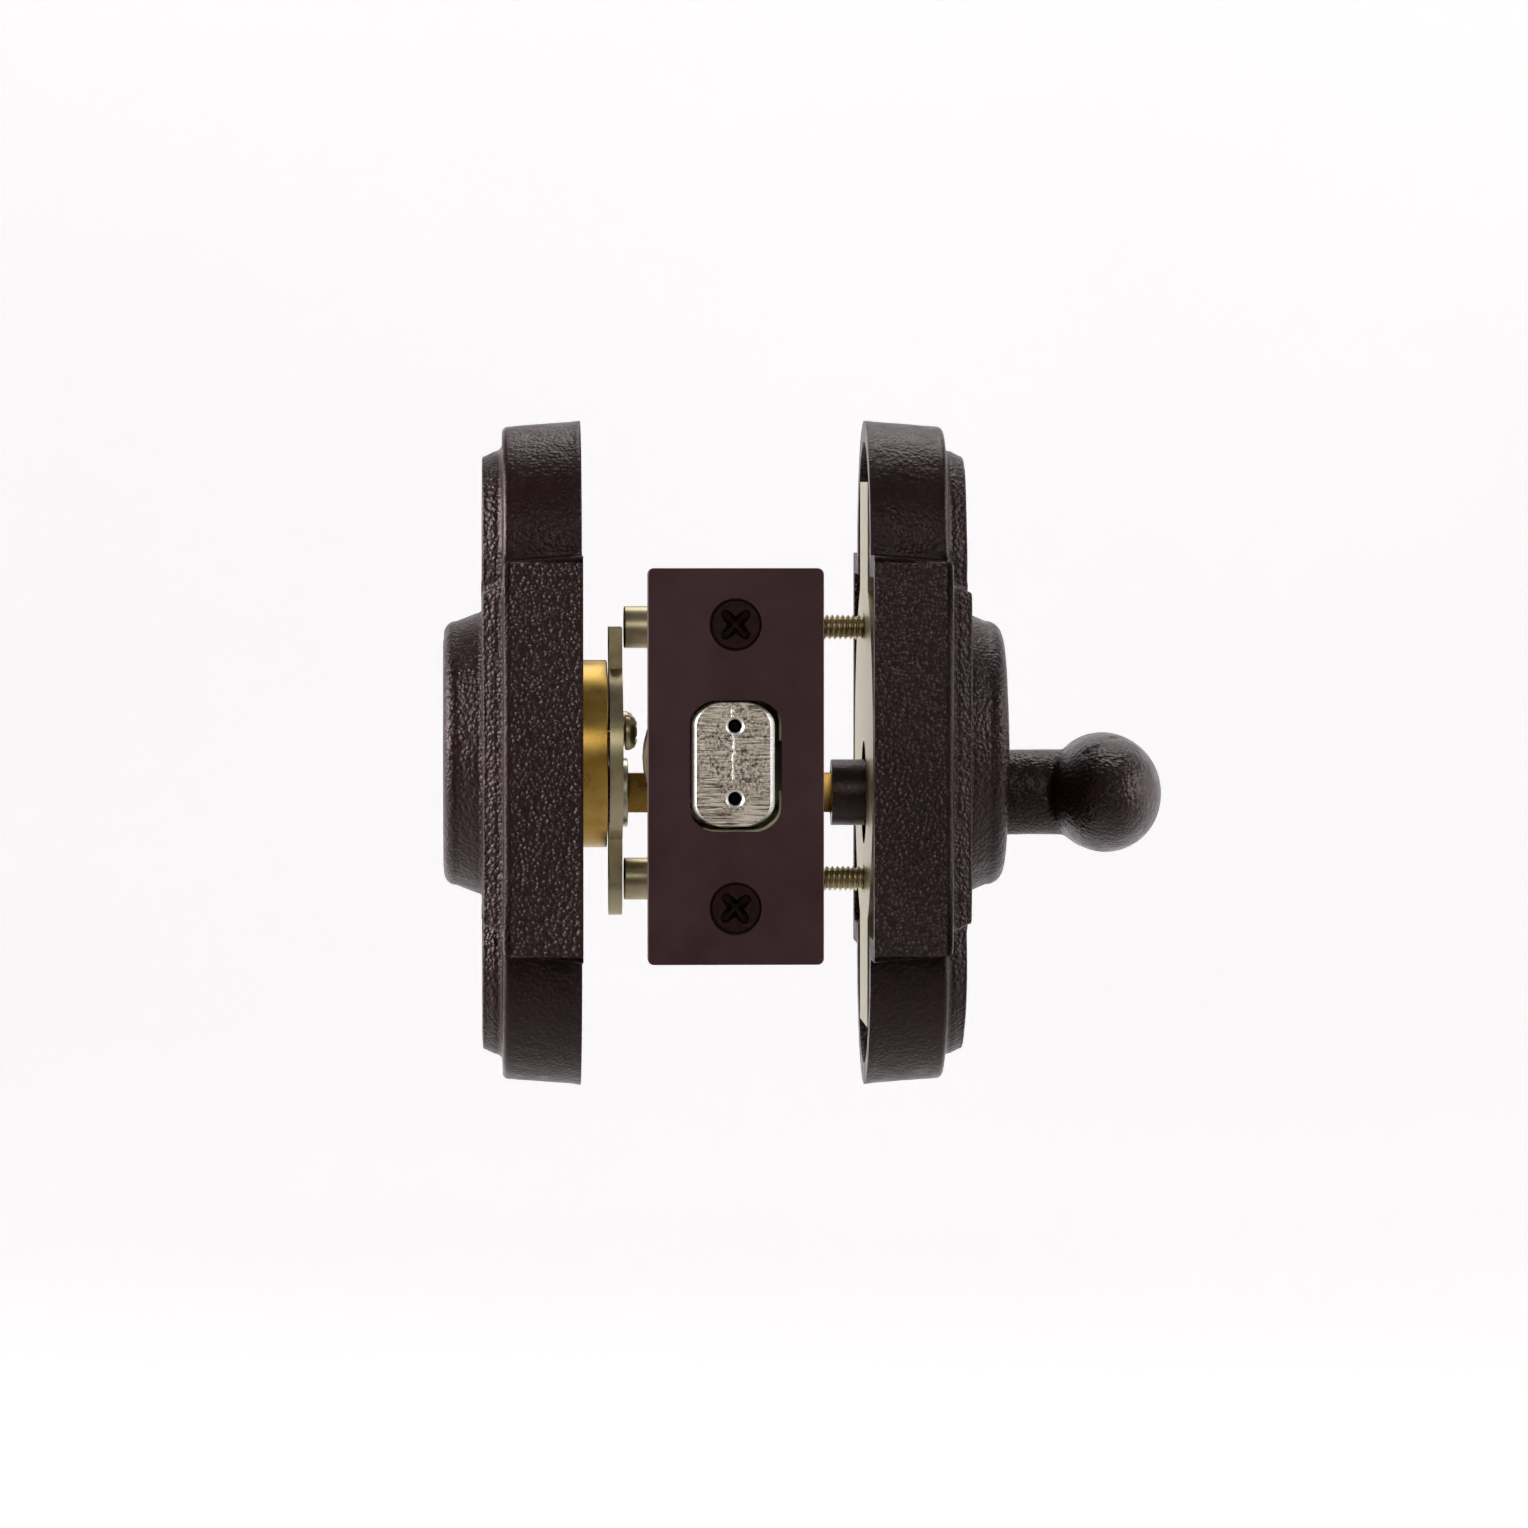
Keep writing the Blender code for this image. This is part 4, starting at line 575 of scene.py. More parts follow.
def eased(points: list[Flat], fillet: float, steps: int = 4) -> np.ndarray:
    """Rounds the corners of an open profile.

    Each inner corner becomes a quadratic curve from a point one fillet before it to a point one
    fillet after it, with the corner as its control point; a fillet is never more than 0.45 of the
    shorter side.

    Args:
        points: The profile's corners.
        fillet: How far from the corner the curve starts.
        steps: Pieces in each curve.

    Returns:
        The profile's points, one row each.
    """
    corners = np.array(points, float)
    sides = np.diff(corners, axis=0)
    lengths = np.linalg.norm(sides, axis=1)
    reach = np.minimum(fillet, 0.45 * np.minimum(lengths[:-1], lengths[1:]))[:, None]
    before = (corners[1:-1] - sides[:-1] / lengths[:-1, None] * reach)[:, None]
    after = (corners[1:-1] + sides[1:] / lengths[1:, None] * reach)[:, None]
    t = np.linspace(0, 1, steps + 1)[None, :, None]
    curve = (1 - t) ** 2 * before + 2 * t * (1 - t) * corners[1:-1, None] + t**2 * after
    return np.vstack([corners[:1], curve.reshape(-1, 2), corners[-1:]])


def resampled(profile: np.ndarray, spacing: float) -> np.ndarray:
    """Adds points along a profile so that none of its pieces is longer than the spacing."""
    lengths = np.linalg.norm(np.diff(profile, axis=0), axis=1)
    counts = np.maximum(1, np.ceil(lengths / spacing).astype(int))
    starts = np.repeat(np.arange(len(lengths)), counts)
    within = np.concatenate([np.arange(n) / n for n in counts])
    filled = profile[starts] + (profile[starts + 1] - profile[starts]) * within[:, None]
    return np.vstack([filled, profile[-1:]])


def blunted(low: Flat, high: Flat, chamfer: Flat, fillet: float, spacing: float) -> np.ndarray:
    """An oblong whose corners are chamfers with both ends eased into a curve.

    Args:
        low: Its left and lower limits.
        high: Its right and upper limits.
        chamfer: How much each corner takes off along X and along Z.
        fillet: How far each eased end reaches.
        spacing: The longest piece of the outline.

    Returns:
        (X, Z) points round it, from the middle of its lower side.
    """
    (x0, z0), (x1, z1), (c, d) = low, high, chamfer
    middle = ((x0 + x1) / 2, z0)
    corners = [middle, (x1 - c, z0), (x1, z0 + d), (x1, z1 - d), (x1 - c, z1)]
    corners += [(x0 + c, z1), (x0, z1 - d), (x0, z0 + d), (x0 + c, z0), middle]
    return resampled(eased(corners, fillet, 8), spacing)[:-1]


def mesh_object(name: str, points: Any, faces: list[Any]) -> bpy.types.Object:
    """Makes a smooth-shaded object from points and faces."""
    mesh = bpy.data.meshes.new(name)
    mesh.from_pydata(np.asarray(points).tolist(), [], faces)
    mesh.shade_smooth()
    made = bpy.data.objects.new(name, mesh)
    bpy.context.scene.collection.objects.link(made)
    return made


def closed_up(made: bpy.types.Object, merge: float = 1e-7) -> bpy.types.Object:
    """Merges doubled points, drops faces that collapsed, and turns every face outwards."""
    shape = bmesh.new()
    shape.from_mesh(made.data)
    bmesh.ops.remove_doubles(shape, verts=shape.verts, dist=merge)
    bmesh.ops.dissolve_degenerate(shape, edges=shape.edges, dist=merge)
    bmesh.ops.recalc_face_normals(shape, faces=shape.faces)
    shape.to_mesh(made.data)
    shape.free()
    return made


def quads(rows: int, columns: int, wrap_rows: bool) -> list[list[int]]:
    """The four corners of each face of a grid whose columns wrap round.

    Args:
        rows: Rings in the grid.
        columns: Points in each ring.
        wrap_rows: True joins the last ring to the first.

    Returns:
        The faces.
    """
    last = rows if wrap_rows else rows - 1
    row, column = np.meshgrid(np.arange(last), np.arange(columns), indexing="ij")
    below, beside = (row + 1) % rows, (column + 1) % columns
    corners = [(row, column), (row, beside), (below, beside), (below, column)]
    return np.stack([r * columns + c for r, c in corners], axis=-1).reshape(-1, 4).tolist()


def grid_object(name: str, grid: np.ndarray, wrap_rows: bool = False) -> bpy.types.Object:
    """Makes an object from a grid of points whose columns wrap round.

    Args:
        name: The object's name.
        grid: Points as rows, columns and XYZ; a row is one ring.
        wrap_rows: True joins the last ring to the first; otherwise a fan closes each end.

    Returns:
        The object.
    """
    rows, columns, _ = grid.shape
    points = grid.reshape(-1, 3)
    faces = quads(rows, columns, wrap_rows)
    if not wrap_rows:
        points = np.vstack([points, grid[0].mean(0), grid[-1].mean(0)])
        ring = np.arange(columns)
        beside = (ring + 1) % columns
        base, centre = (rows - 1) * columns, np.full(columns, rows * columns)
        for fan in ([centre, beside, ring], [centre + 1, base + ring, base + beside]):
            faces += np.stack(fan, axis=-1).tolist()
    return closed_up(mesh_object(name, points, faces))


def turned_grid(profile: np.ndarray, axis: Axis, centre: Place, steps: int) -> np.ndarray:
    """Carries a profile of (place along the axis, radius) round the axis.

    A point is the centre plus its place along the axis, plus the radius times the cosine and the
    sine of the turn along the other two axes.

    Args:
        profile: The profile's points.
        axis: The axis of the turned piece.
        centre: A point on that axis; its own coordinate along the axis is not used.
        steps: Points in each ring.

    Returns:
        The grid, one ring for each point of the profile.
    """
    angle = np.linspace(0, 2 * math.pi, steps, endpoint=False)
    grid = np.zeros((len(profile), steps, 3)) + np.array(centre)
    first, second = [i for i in range(3) if i != axis.value]
    grid[:, :, axis.value] = profile[:, :1]
    grid[:, :, first] += profile[:, 1:] * np.cos(angle)
    grid[:, :, second] += profile[:, 1:] * np.sin(angle)
    return grid


def lofted(name: str, stations: list[tuple[float, np.ndarray]]) -> bpy.types.Object:
    """Makes a closed piece from outlines of (X, Z) points, each at its own place on Y."""
    return grid_object(name, np.stack([np.insert(flat, 1, y, axis=1) for y, flat in stations]))


def sharpen(made: bpy.types.Object, degrees: float = 32) -> bpy.types.Object:
    """Marks edges past this angle as sharp, for clean machined faces."""
    made.data.set_sharp_from_angle(angle=math.radians(degrees))
    return made


def turned_piece(
    name: str,
    profile: list[Flat],
    axis: Axis,
    centre: Place,
    fillet: float = 0.15 * MM,
    steps: int = 96,
    section: Section = Section.SOLID,
) -> bpy.types.Object:
    """Turns a profile with small rounded corners.

    Args:
        name: The piece's name.
        profile: (place along the axis, radius) corners; a ring's go once round its section.
        axis: The axis.
        centre: A point on it.
        fillet: How far each rounded corner reaches.
        steps: Points round the piece.
        section: How the profile is closed.

    Returns:
        The piece, with sharp edges marked.
    """
    first, last = profile[0], profile[-1]
    if section is Section.RING:
        start = ((first[0] + last[0]) / 2, (first[1] + last[1]) / 2)
        points = eased([start, *profile, start], fillet)[:-1]
    elif section is Section.SOLID:
        points = eased([(first[0], THIN), *profile, (last[0], THIN)], fillet)
    else:
        points = eased(profile, fillet)
    grid = turned_grid(points, axis, centre, steps)
    return sharpen(grid_object(name, grid, section is Section.RING))


def bar(
    axis: Axis, radius: float, start: float, end: float, centre: Place, steps: int = 64
) -> bpy.types.Object:
    """Makes a plain round bar, to cut a hole with.

    Args:
        axis: The bar's axis.
        radius: Its radius.
        start: One end's place along the axis.
        end: The other end's place.
        centre: A point on the axis.
        steps: Points round it.

    Returns:
        The bar.
    """
    profile = np.array([(start, radius), (end, radius)])
    return grid_object("cutter", turned_grid(profile, axis, centre, steps))


def brick(low: Place, high: Place) -> bpy.types.Object:
    """Makes a plain block between two corners, to cut a slot with."""
    xs, ys, zs = zip(low, high)
    points = [(x, y, z) for x in xs for y in ys for z in zs]
    faces = [(0, 1, 3, 2), (4, 6, 7, 5), (0, 4, 5, 1), (2, 3, 7, 6), (0, 2, 6, 4), (1, 5, 7, 3)]
    return closed_up(mesh_object("cutter", points, faces))


def applied(made: bpy.types.Object) -> bpy.types.Object:
    """Replaces a piece's mesh by what its modifiers make of it."""
    bpy.context.view_layer.update()
    graph = bpy.context.evaluated_depsgraph_get()
    mesh = bpy.data.meshes.new_from_object(made.evaluated_get(graph))
    made.modifiers.clear()
    made.data = mesh
    return made


def combine(made: bpy.types.Object, others: list[bpy.types.Object], how: Merge = Merge.CUT) -> None:
    """Joins other objects to a piece, or cuts them out, one by one, and removes them."""
    for other in others:
        step = made.modifiers.new("cut", "BOOLEAN")
        step.operation = how.value
        step.solver = "EXACT"
        step.object = other
        applied(made)
        bpy.data.objects.remove(other)


def attach(made: bpy.types.Object, other: bpy.types.Object) -> None:
    """Adds another object's faces to a piece as they are, and removes that object."""
    join = bmesh.new()
    join.from_mesh(made.data)
    join.from_mesh(other.data)
    join.to_mesh(made.data)
    join.free()
    bpy.data.objects.remove(other)


def surface(made: bpy.types.Object) -> tuple[np.ndarray, np.ndarray]:
    """Reads a piece's points and their normals, one row each."""
    count = len(made.data.vertices) * 3
    points, normals = np.empty(count), np.empty(count)
    made.data.vertices.foreach_get("co", points)
    made.data.vertices.foreach_get("normal", normals)
    return points.reshape(-1, 3), normals.reshape(-1, 3)


def reshape(made: bpy.types.Object, points: np.ndarray, pebbled: np.ndarray) -> None:
    """Moves a casting's points and stores how strongly each is pebbled, for its finish to read.

    The same value marks where the finish paints shade or a highlight.
    """
    made.data.vertices.foreach_set("co", points.reshape(-1))
    made.data.update()
    layer = made.data.attributes.new("pebbled", "FLOAT", "POINT")
    layer.data.foreach_set("value", pebbled.astype(np.float32))


def settle(made: bpy.types.Object, finish: Finish, body: str, node: str) -> bpy.types.Object:
    """Gives a finished piece its material, body and slot, and hides the CAD node that it replaces.

    Args:
        made: The piece.
        finish: Its finish.
        body: The body that it moves with.
        node: The CAD node that it replaces.

    Returns:
        The piece.
    """
    dressed(made.data, finish)
    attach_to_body(made, body)
    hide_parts(node)
    LOG.info("%s: %d faces, finish %s", made.name, len(made.data.polygons), finish.name)
    return made


def ease_edges(made: bpy.types.Object, width: float = 0.18 * MM) -> bpy.types.Object:
    """Eases the edges of a flat-sided piece with a small bevel."""
    made.data.shade_smooth()
    step = made.modifiers.new("ease", "BEVEL")
    step.width = width
    step.segments = 2
    step.limit_method = "ANGLE"
    step.angle_limit = math.radians(35)
    step.harden_normals = True
    return made


def eased_copy(
    frame: dict[str, Any], node: str, width: float, finish: Finish, body: str
) -> bpy.types.Object:
    """Copies a CAD node as one clean mesh with small bevelled edges.

    Args:
        frame: The loaded frame.
        node: The CAD node.
        width: The bevel's width in metres.
        finish: The finish.
        body: The body that it moves with.

    Returns:
        The new piece.
    """
    source = frame["nodes"][node]
    made = bpy.data.objects.new(f"{node}_eased", source.data.copy())
    bpy.context.scene.collection.objects.link(made)
    shape = bmesh.new()
    shape.from_mesh(made.data)
    shape.transform(source.matrix_world)
    bmesh.ops.remove_doubles(shape, verts=shape.verts, dist=1e-6)
    flat = math.radians(0.6)
    bmesh.ops.dissolve_limit(shape, angle_limit=flat, verts=shape.verts, edges=shape.edges)
    bmesh.ops.recalc_face_normals(shape, faces=shape.faces)
    shape.to_mesh(made.data)
    shape.free()
    return settle(ease_edges(made, width), finish, body, node)


@dataclass
class CastRose:
    """One cast rose: an arched rim, a cove, a raised face and a round boss, hollow behind."""

    side: Side
    half_width: float = 32.0 * MM
    half_height: float = 30.1 * MM
    lobe_radius: float = 20.2 * MM
    wall: float = 3.2 * MM
    corner: float = 1.0 * MM
    valley: float = 0.5 * MM
    rim_depth: float = 11.9 * MM
    face_depth: float = 14.9 * MM
    draft: float = 0.8 * MM
    edge: float = 1.0 * MM
    ledge: float = 1.7 * MM
    cove: float = 1.1 * MM
    side_lean: float = 0.7 * MM
    crest: float = 0.5 * MM
    boss_radius: float = 21.3 * MM
    boss_depth: float = 20.7 * MM
    boss_taper: float = 1.2 * MM
    boss_round: float = 2.0 * MM
    foot: float = 0.7 * MM
    bore: float = 14.6 * MM
    head_bore: float = 16.3 * MM
    head_depth: float = 2.6 * MM
    stem_hole: float = 6.9 * MM
    bearing: float = 10.0 * MM
    bearing_length: float = 7.5 * MM
    spacing: float = 0.62 * MM
    set_screw_hole: float = 2.3 * MM

    def outline(self, inset: float) -> np.ndarray:
        """The arched outline, moved inwards.

        One quarter is a side, a rounded corner, a ledge, a hollow fillet that is tangent to the
        ledge and to the lobe's circle, and the lobe's arc up to the top; the other three quarters
        mirror it.

        Args:
            inset: How far inside the full outline, in metres.

        Returns:
            (Y, Z) points in turning order, as many for every inset.
        """

        def arc(centre: Flat, radius: float, start: float, end: float, count: int) -> np.ndarray:
            turn = np.linspace(start, end, count)[1:]
            return radius * np.stack([np.cos(turn), np.sin(turn)], axis=1) + centre

        width = self.half_width - inset
        shoulder = self.half_height - inset
        radius = self.lobe_radius - inset
        right = math.pi / 2
        hollow_z = shoulder + self.valley
        rise = hollow_z - self.half_height
        hollow_y = math.sqrt((radius + self.valley) ** 2 - rise**2)
        meeting = math.atan2(rise, hollow_y)
        side = np.stack([np.full(34, width), np.linspace(0, shoulder - self.corner, 34)], axis=1)
        corner = (width - self.corner, shoulder - self.corner)
        ledge = np.linspace((corner[0], shoulder), (hollow_y, shoulder), 14)[1:]
        parts = [
            side,
            arc(corner, self.corner, 0, right, 9),
            ledge,
            arc((hollow_y, hollow_z), self.valley, 3 * right, math.pi + meeting, 9),
            arc((0, self.half_height), radius, meeting, right, 50),
        ]
        quarter = np.vstack(parts)
        half = np.vstack([quarter, quarter[-2:0:-1] * (-1, 1)])
        return np.vstack([half, [[-width, 0]], half[-1:0:-1] * (1, -1)])

    def circle(self, radius: float, drop: float = 0.0) -> np.ndarray:
        """A circle with its points at the same bearings as the arched outline's points."""
        arch = self.outline(0.0)
        bearing = np.arctan2(arch[:, 1], arch[:, 0])
        return radius * np.stack([np.cos(bearing), np.sin(bearing)], axis=1) + (0, drop)

    def rim_profile(self) -> np.ndarray:
        """(depth, inset) points of the rim's wall, its round edge, ledge, cove and raised side.

        The wall leans in by the draft, a quarter circle rounds its edge, a flat ledge runs in to
        the cove, which is another quarter circle, and the side above it leans in to the face's own
        round edge.
        """
        turn = np.linspace(0, math.pi / 2, 8)
        rise, run = np.sin(turn), 1 - np.cos(turn)
        wall_top = self.rim_depth - self.edge
        edge_end = self.draft + self.edge
        foot = edge_end + self.ledge
        inner = foot + self.cove
        lean = inner + self.side_lean
        side_top = self.face_depth - self.crest
        cove = (self.rim_depth + self.cove * run, foot + self.cove * rise)
        crest = (side_top + self.crest * rise, lean + self.crest * run)
        parts = [
            np.linspace((0, 0), (wall_top, self.draft), 18),
            np.stack([wall_top + self.edge * rise, self.draft + self.edge * run], axis=1)[1:],
            np.linspace((self.rim_depth, edge_end), (self.rim_depth, foot), 3)[1:],
            np.stack(cove, axis=1)[1:],
            np.linspace((self.rim_depth + self.cove, inner), (side_top, lean), 5)[1:],
            np.stack(crest, axis=1)[1:],
        ]
        return np.vstack(parts)

    def boss_profile(self) -> np.ndarray:
        """(depth, radius) points of the boss: a hollow quarter foot, a lean and a round crown."""
        turn = np.linspace(0, math.pi / 2, 7)
        depth = self.face_depth + self.foot * (1 - np.cos(turn))
        foot = (depth, self.boss_radius + self.foot * (1 - np.sin(turn)))
        turn = np.linspace(0, math.pi / 2, 12)
        depth = self.boss_depth - self.boss_round + self.boss_round * np.sin(turn)
        top = self.boss_radius - self.boss_taper
        crown = (depth, top - self.boss_round * (1 - np.cos(turn)))
        corners = np.vstack([np.stack(foot, axis=1), np.stack(crown, axis=1)])
        return resampled(corners, self.spacing)

    def inside(self) -> list[tuple[float, float, float]]:
        """(depth, radius, drop) of the bore through the boss.

        Outside, it is the counterbore and bore of the key cylinder. Inside, it is the stem's hole,
        the bearing behind it and the boss's hollow.
        """
        front = self.boss_depth
        floor = self.rim_depth - self.wall / 2
        if self.side is Side.EXTERIOR:
            lip, step = 0.25 * MM, front - self.head_depth
            return [
                (front, self.head_bore + lip, 0.0),
                (front - lip, self.head_bore, 0.0),
                (step, self.head_bore, 0.0),
                (step, self.bore, 0.0),
                (floor, self.bore, 0.0),
            ]
        lip, back = 0.5 * MM, front - self.wall
        end, hollow = back - self.bearing_length, self.boss_radius - self.wall
        return [
            (front, self.stem_hole + lip, AXIS_Z),
            (front - lip, self.stem_hole, AXIS_Z),
            (end, self.stem_hole, AXIS_Z),
            (end, self.bearing, AXIS_Z),
            (back, self.bearing, AXIS_Z),
            (back, hollow, 0.0),
            (floor, hollow, 0.0),
        ]

    def rings(self) -> np.ndarray:
        """All rings of the casting, from the back rim over the front and back through the hollow.

        Returns:
            A grid of (depth, Y, Z) points that closes on itself along its rows.
        """

        def ring(depth: float, flat: np.ndarray) -> np.ndarray:
            return np.hstack([np.full((len(flat), 1), depth), flat])

        def between(start: np.ndarray, end: np.ndarray, count: int) -> list[np.ndarray]:
            return [start + (end - start) * i / (count + 1) for i in range(1, count + 1)]

        rim = [ring(depth, self.outline(inset)) for depth, inset in self.rim_profile()]
        boss = [ring(depth, self.circle(radius)) for depth, radius in self.boss_profile()]
        bored = [ring(depth, self.circle(radius, drop)) for depth, radius, drop in self.inside()]
        floor = self.rim_depth - self.wall / 2
        hollow = [
            (floor, self.wall * 1.6 + self.draft),
            (floor - self.wall / 2, self.wall + self.draft),
            (0.0, self.wall),
        ]
        shell = [ring(depth, self.outline(inset)) for depth, inset in hollow]
        rings = rim + between(rim[-1], boss[0], 16) + boss
        rings += between(boss[-1], bored[0], 5) + bored
        rings += between(bored[-1], shell[0], 6) + shell[:2] + between(shell[1], shell[2], 4)
        return np.stack(rings + [shell[2]] + between(shell[2], rim[0], 2))

    def places(self, points: np.ndarray) -> tuple[np.ndarray, ...]:
        """Returns depth from the door, distance from X, and height and width from the middle."""
        depth = self.side.value * points[:, 0] - HALF_DOOR
        radius = np.hypot(points[:, 1], points[:, 2])
        return depth, radius, np.abs(points[:, 2]), np.abs(points[:, 1])

    def in_lobe(self, height: np.ndarray) -> np.ndarray:
        """Says which heights are in a lobe."""
        return height > self.half_height + 0.5 * MM

    def rounded(self, depth: np.ndarray, height: np.ndarray) -> np.ndarray:
        """Says which places are on the rim's round edge or on its shoulder's."""
        edge = (depth > self.rim_depth - self.edge) & (depth < self.rim_depth + 0.2 * MM)
        shoulder = (height > self.half_height - 0.9 * MM) & ~self.in_lobe(height)
        return edge | (shoulder & (depth < self.rim_depth))

    def sink(self, points: np.ndarray, normals: np.ndarray) -> np.ndarray:
        """How deep the sand-cast skin is sunk: slow waves, lumps and pebbles, on the front only.

        The depth is a sum of three value noises: waves of 9 mm, lumps of 3.4 mm and pebbles of
        1.5 mm. The rim's flat sides carry the full pebbles, the ground lobes and the boss a part.

        Args:
            points: The casting's points.
            normals: Their normals.

        Returns:
            The depth at each point in metres.
        """
        depth, radius, height, across = self.places(points)
        in_lobe = self.in_lobe(height)
        front = np.clip((depth - 0.3 * MM) / (1.2 * MM), 0, 1)
        lobe_radius = np.hypot(across, height - self.half_height)
        hidden = (across < self.half_width - 2 * MM) & (depth < 11.0 * MM)
        hidden &= ~(in_lobe & (lobe_radius > self.lobe_radius - 2 * MM))
        hidden &= ~((height > self.half_height - 2.2 * MM) & (across > 19 * MM))
        if self.side is Side.EXTERIOR:
            hidden |= radius < self.head_bore + 1.0 * MM
        else:
            from_stem = np.hypot(points[:, 1], points[:, 2] - AXIS_Z)
            hidden |= from_stem < self.stem_hole + 0.8 * MM
        hidden |= normals[:, 0] * self.side.value < -0.3
        pebbled = np.where(in_lobe | (radius < self.boss_radius + self.foot), 0.45, 1.0)
        pebbled = np.where(depth > self.rim_depth, 0.4 * pebbled, pebbled)
        pebbled = np.where(self.rounded(depth, height), 0.3, pebbled)
        seed = 11 if self.side is Side.EXTERIOR else 37
        waves = lattice(points, 9.0 * MM, seed)
        lumps = lattice(points, 3.4 * MM, seed + 1)
        pebbles = lattice(points, 1.5 * MM, seed + 2)
        skin = 0.16 * waves + 0.10 * (lumps + pebbles**2) * pebbled
        return front * ~hidden * skin * MM

    def pebbled(self, before: np.ndarray, after: np.ndarray) -> np.ndarray:
        """How strongly each point is pebbled, and where painted shade or a painted highlight lies.

        2 marks a painted highlight on the ledge's edge; below 0 marks painted shade in bands along
        the rim's rounded front edge and shoulder.

        Args:
            before: The points before the skin was sunk, which say how deep they lie.
            after: The points after it, which say how high and how far out they lie.

        Returns:
            The share at each point.
        """
        depth, radius, height, _ = self.places(before)
        on_boss = (depth > self.face_depth + 0.4 * MM) & (radius < self.boss_radius + MM)
        share = np.where(on_boss, 0.35, np.where(self.in_lobe(height), 0.25, 1.0))
        share = np.where(self.rounded(depth, height), 0.0, share)
        _, _, height, across = self.places(after)
        on_side = height < self.half_height
        # Painted shade: a band on the rim's rounded front edge, along the sides
        below_edge = (depth > self.rim_depth - 1.05 * MM) & (depth < self.rim_depth - 0.35 * MM)
        # Painted shade: a band on the shoulder's rounded top, near the corners
        top = self.half_height
        below_top = (height > top - 0.95 * MM) & (height < top - 0.2 * MM)
        below_top &= (across > self.half_width - 3.5 * MM) & (depth < self.rim_depth)
        # The painted shade on the front edge is darker towards the top
        fade = np.clip((height - 13 * MM) / (16 * MM), 0.15, 0.8)
        raised = (depth > self.rim_depth + 0.8 * MM) & (depth < self.face_depth)
        raised &= radius > self.boss_radius + 2 * MM
        # Painted highlight: a light line along the ledge's edge
        on_ledge = (height > top - 0.2 * MM) & (height < top + 0.5 * MM)
        on_ledge &= (across > self.lobe_radius) & (depth < self.rim_depth - 0.4 * MM)
        # 2 paints a highlight, 0.5 weakens the pebbles on the raised side, below 0 paints shade
        cases = [on_ledge, raised, below_top, below_edge & on_side]
        return np.select(cases, [2.0, 0.5, -0.9, -fade], share)

    def build(self) -> None:
        """Builds the casting, sinks its skin and bores the inside one for its set screw."""
        grid = self.rings()
        grid[..., 0] = self.side.value * (HALF_DOOR + grid[..., 0])
        name = f"{self.side.name.lower()}_rose"
        made = grid_object(f"{name}_casting", grid, wrap_rows=True)
        points, normals = surface(made)
        sunk = points - normals * self.sink(points, normals)[:, None]
        reshape(made, sunk, self.pebbled(points, sunk))
        if self.side is Side.INTERIOR:
            low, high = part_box("rose_set_screw")
            centre = ((low[0] + high[0]) / 2, 0, 0)
            combine(made, [bar(Axis.Z, self.set_screw_hole, -60 * MM, -40 * MM, centre, 40)])
            sharpen(made, 50)
        settle(made, CAST, FIXED, name)


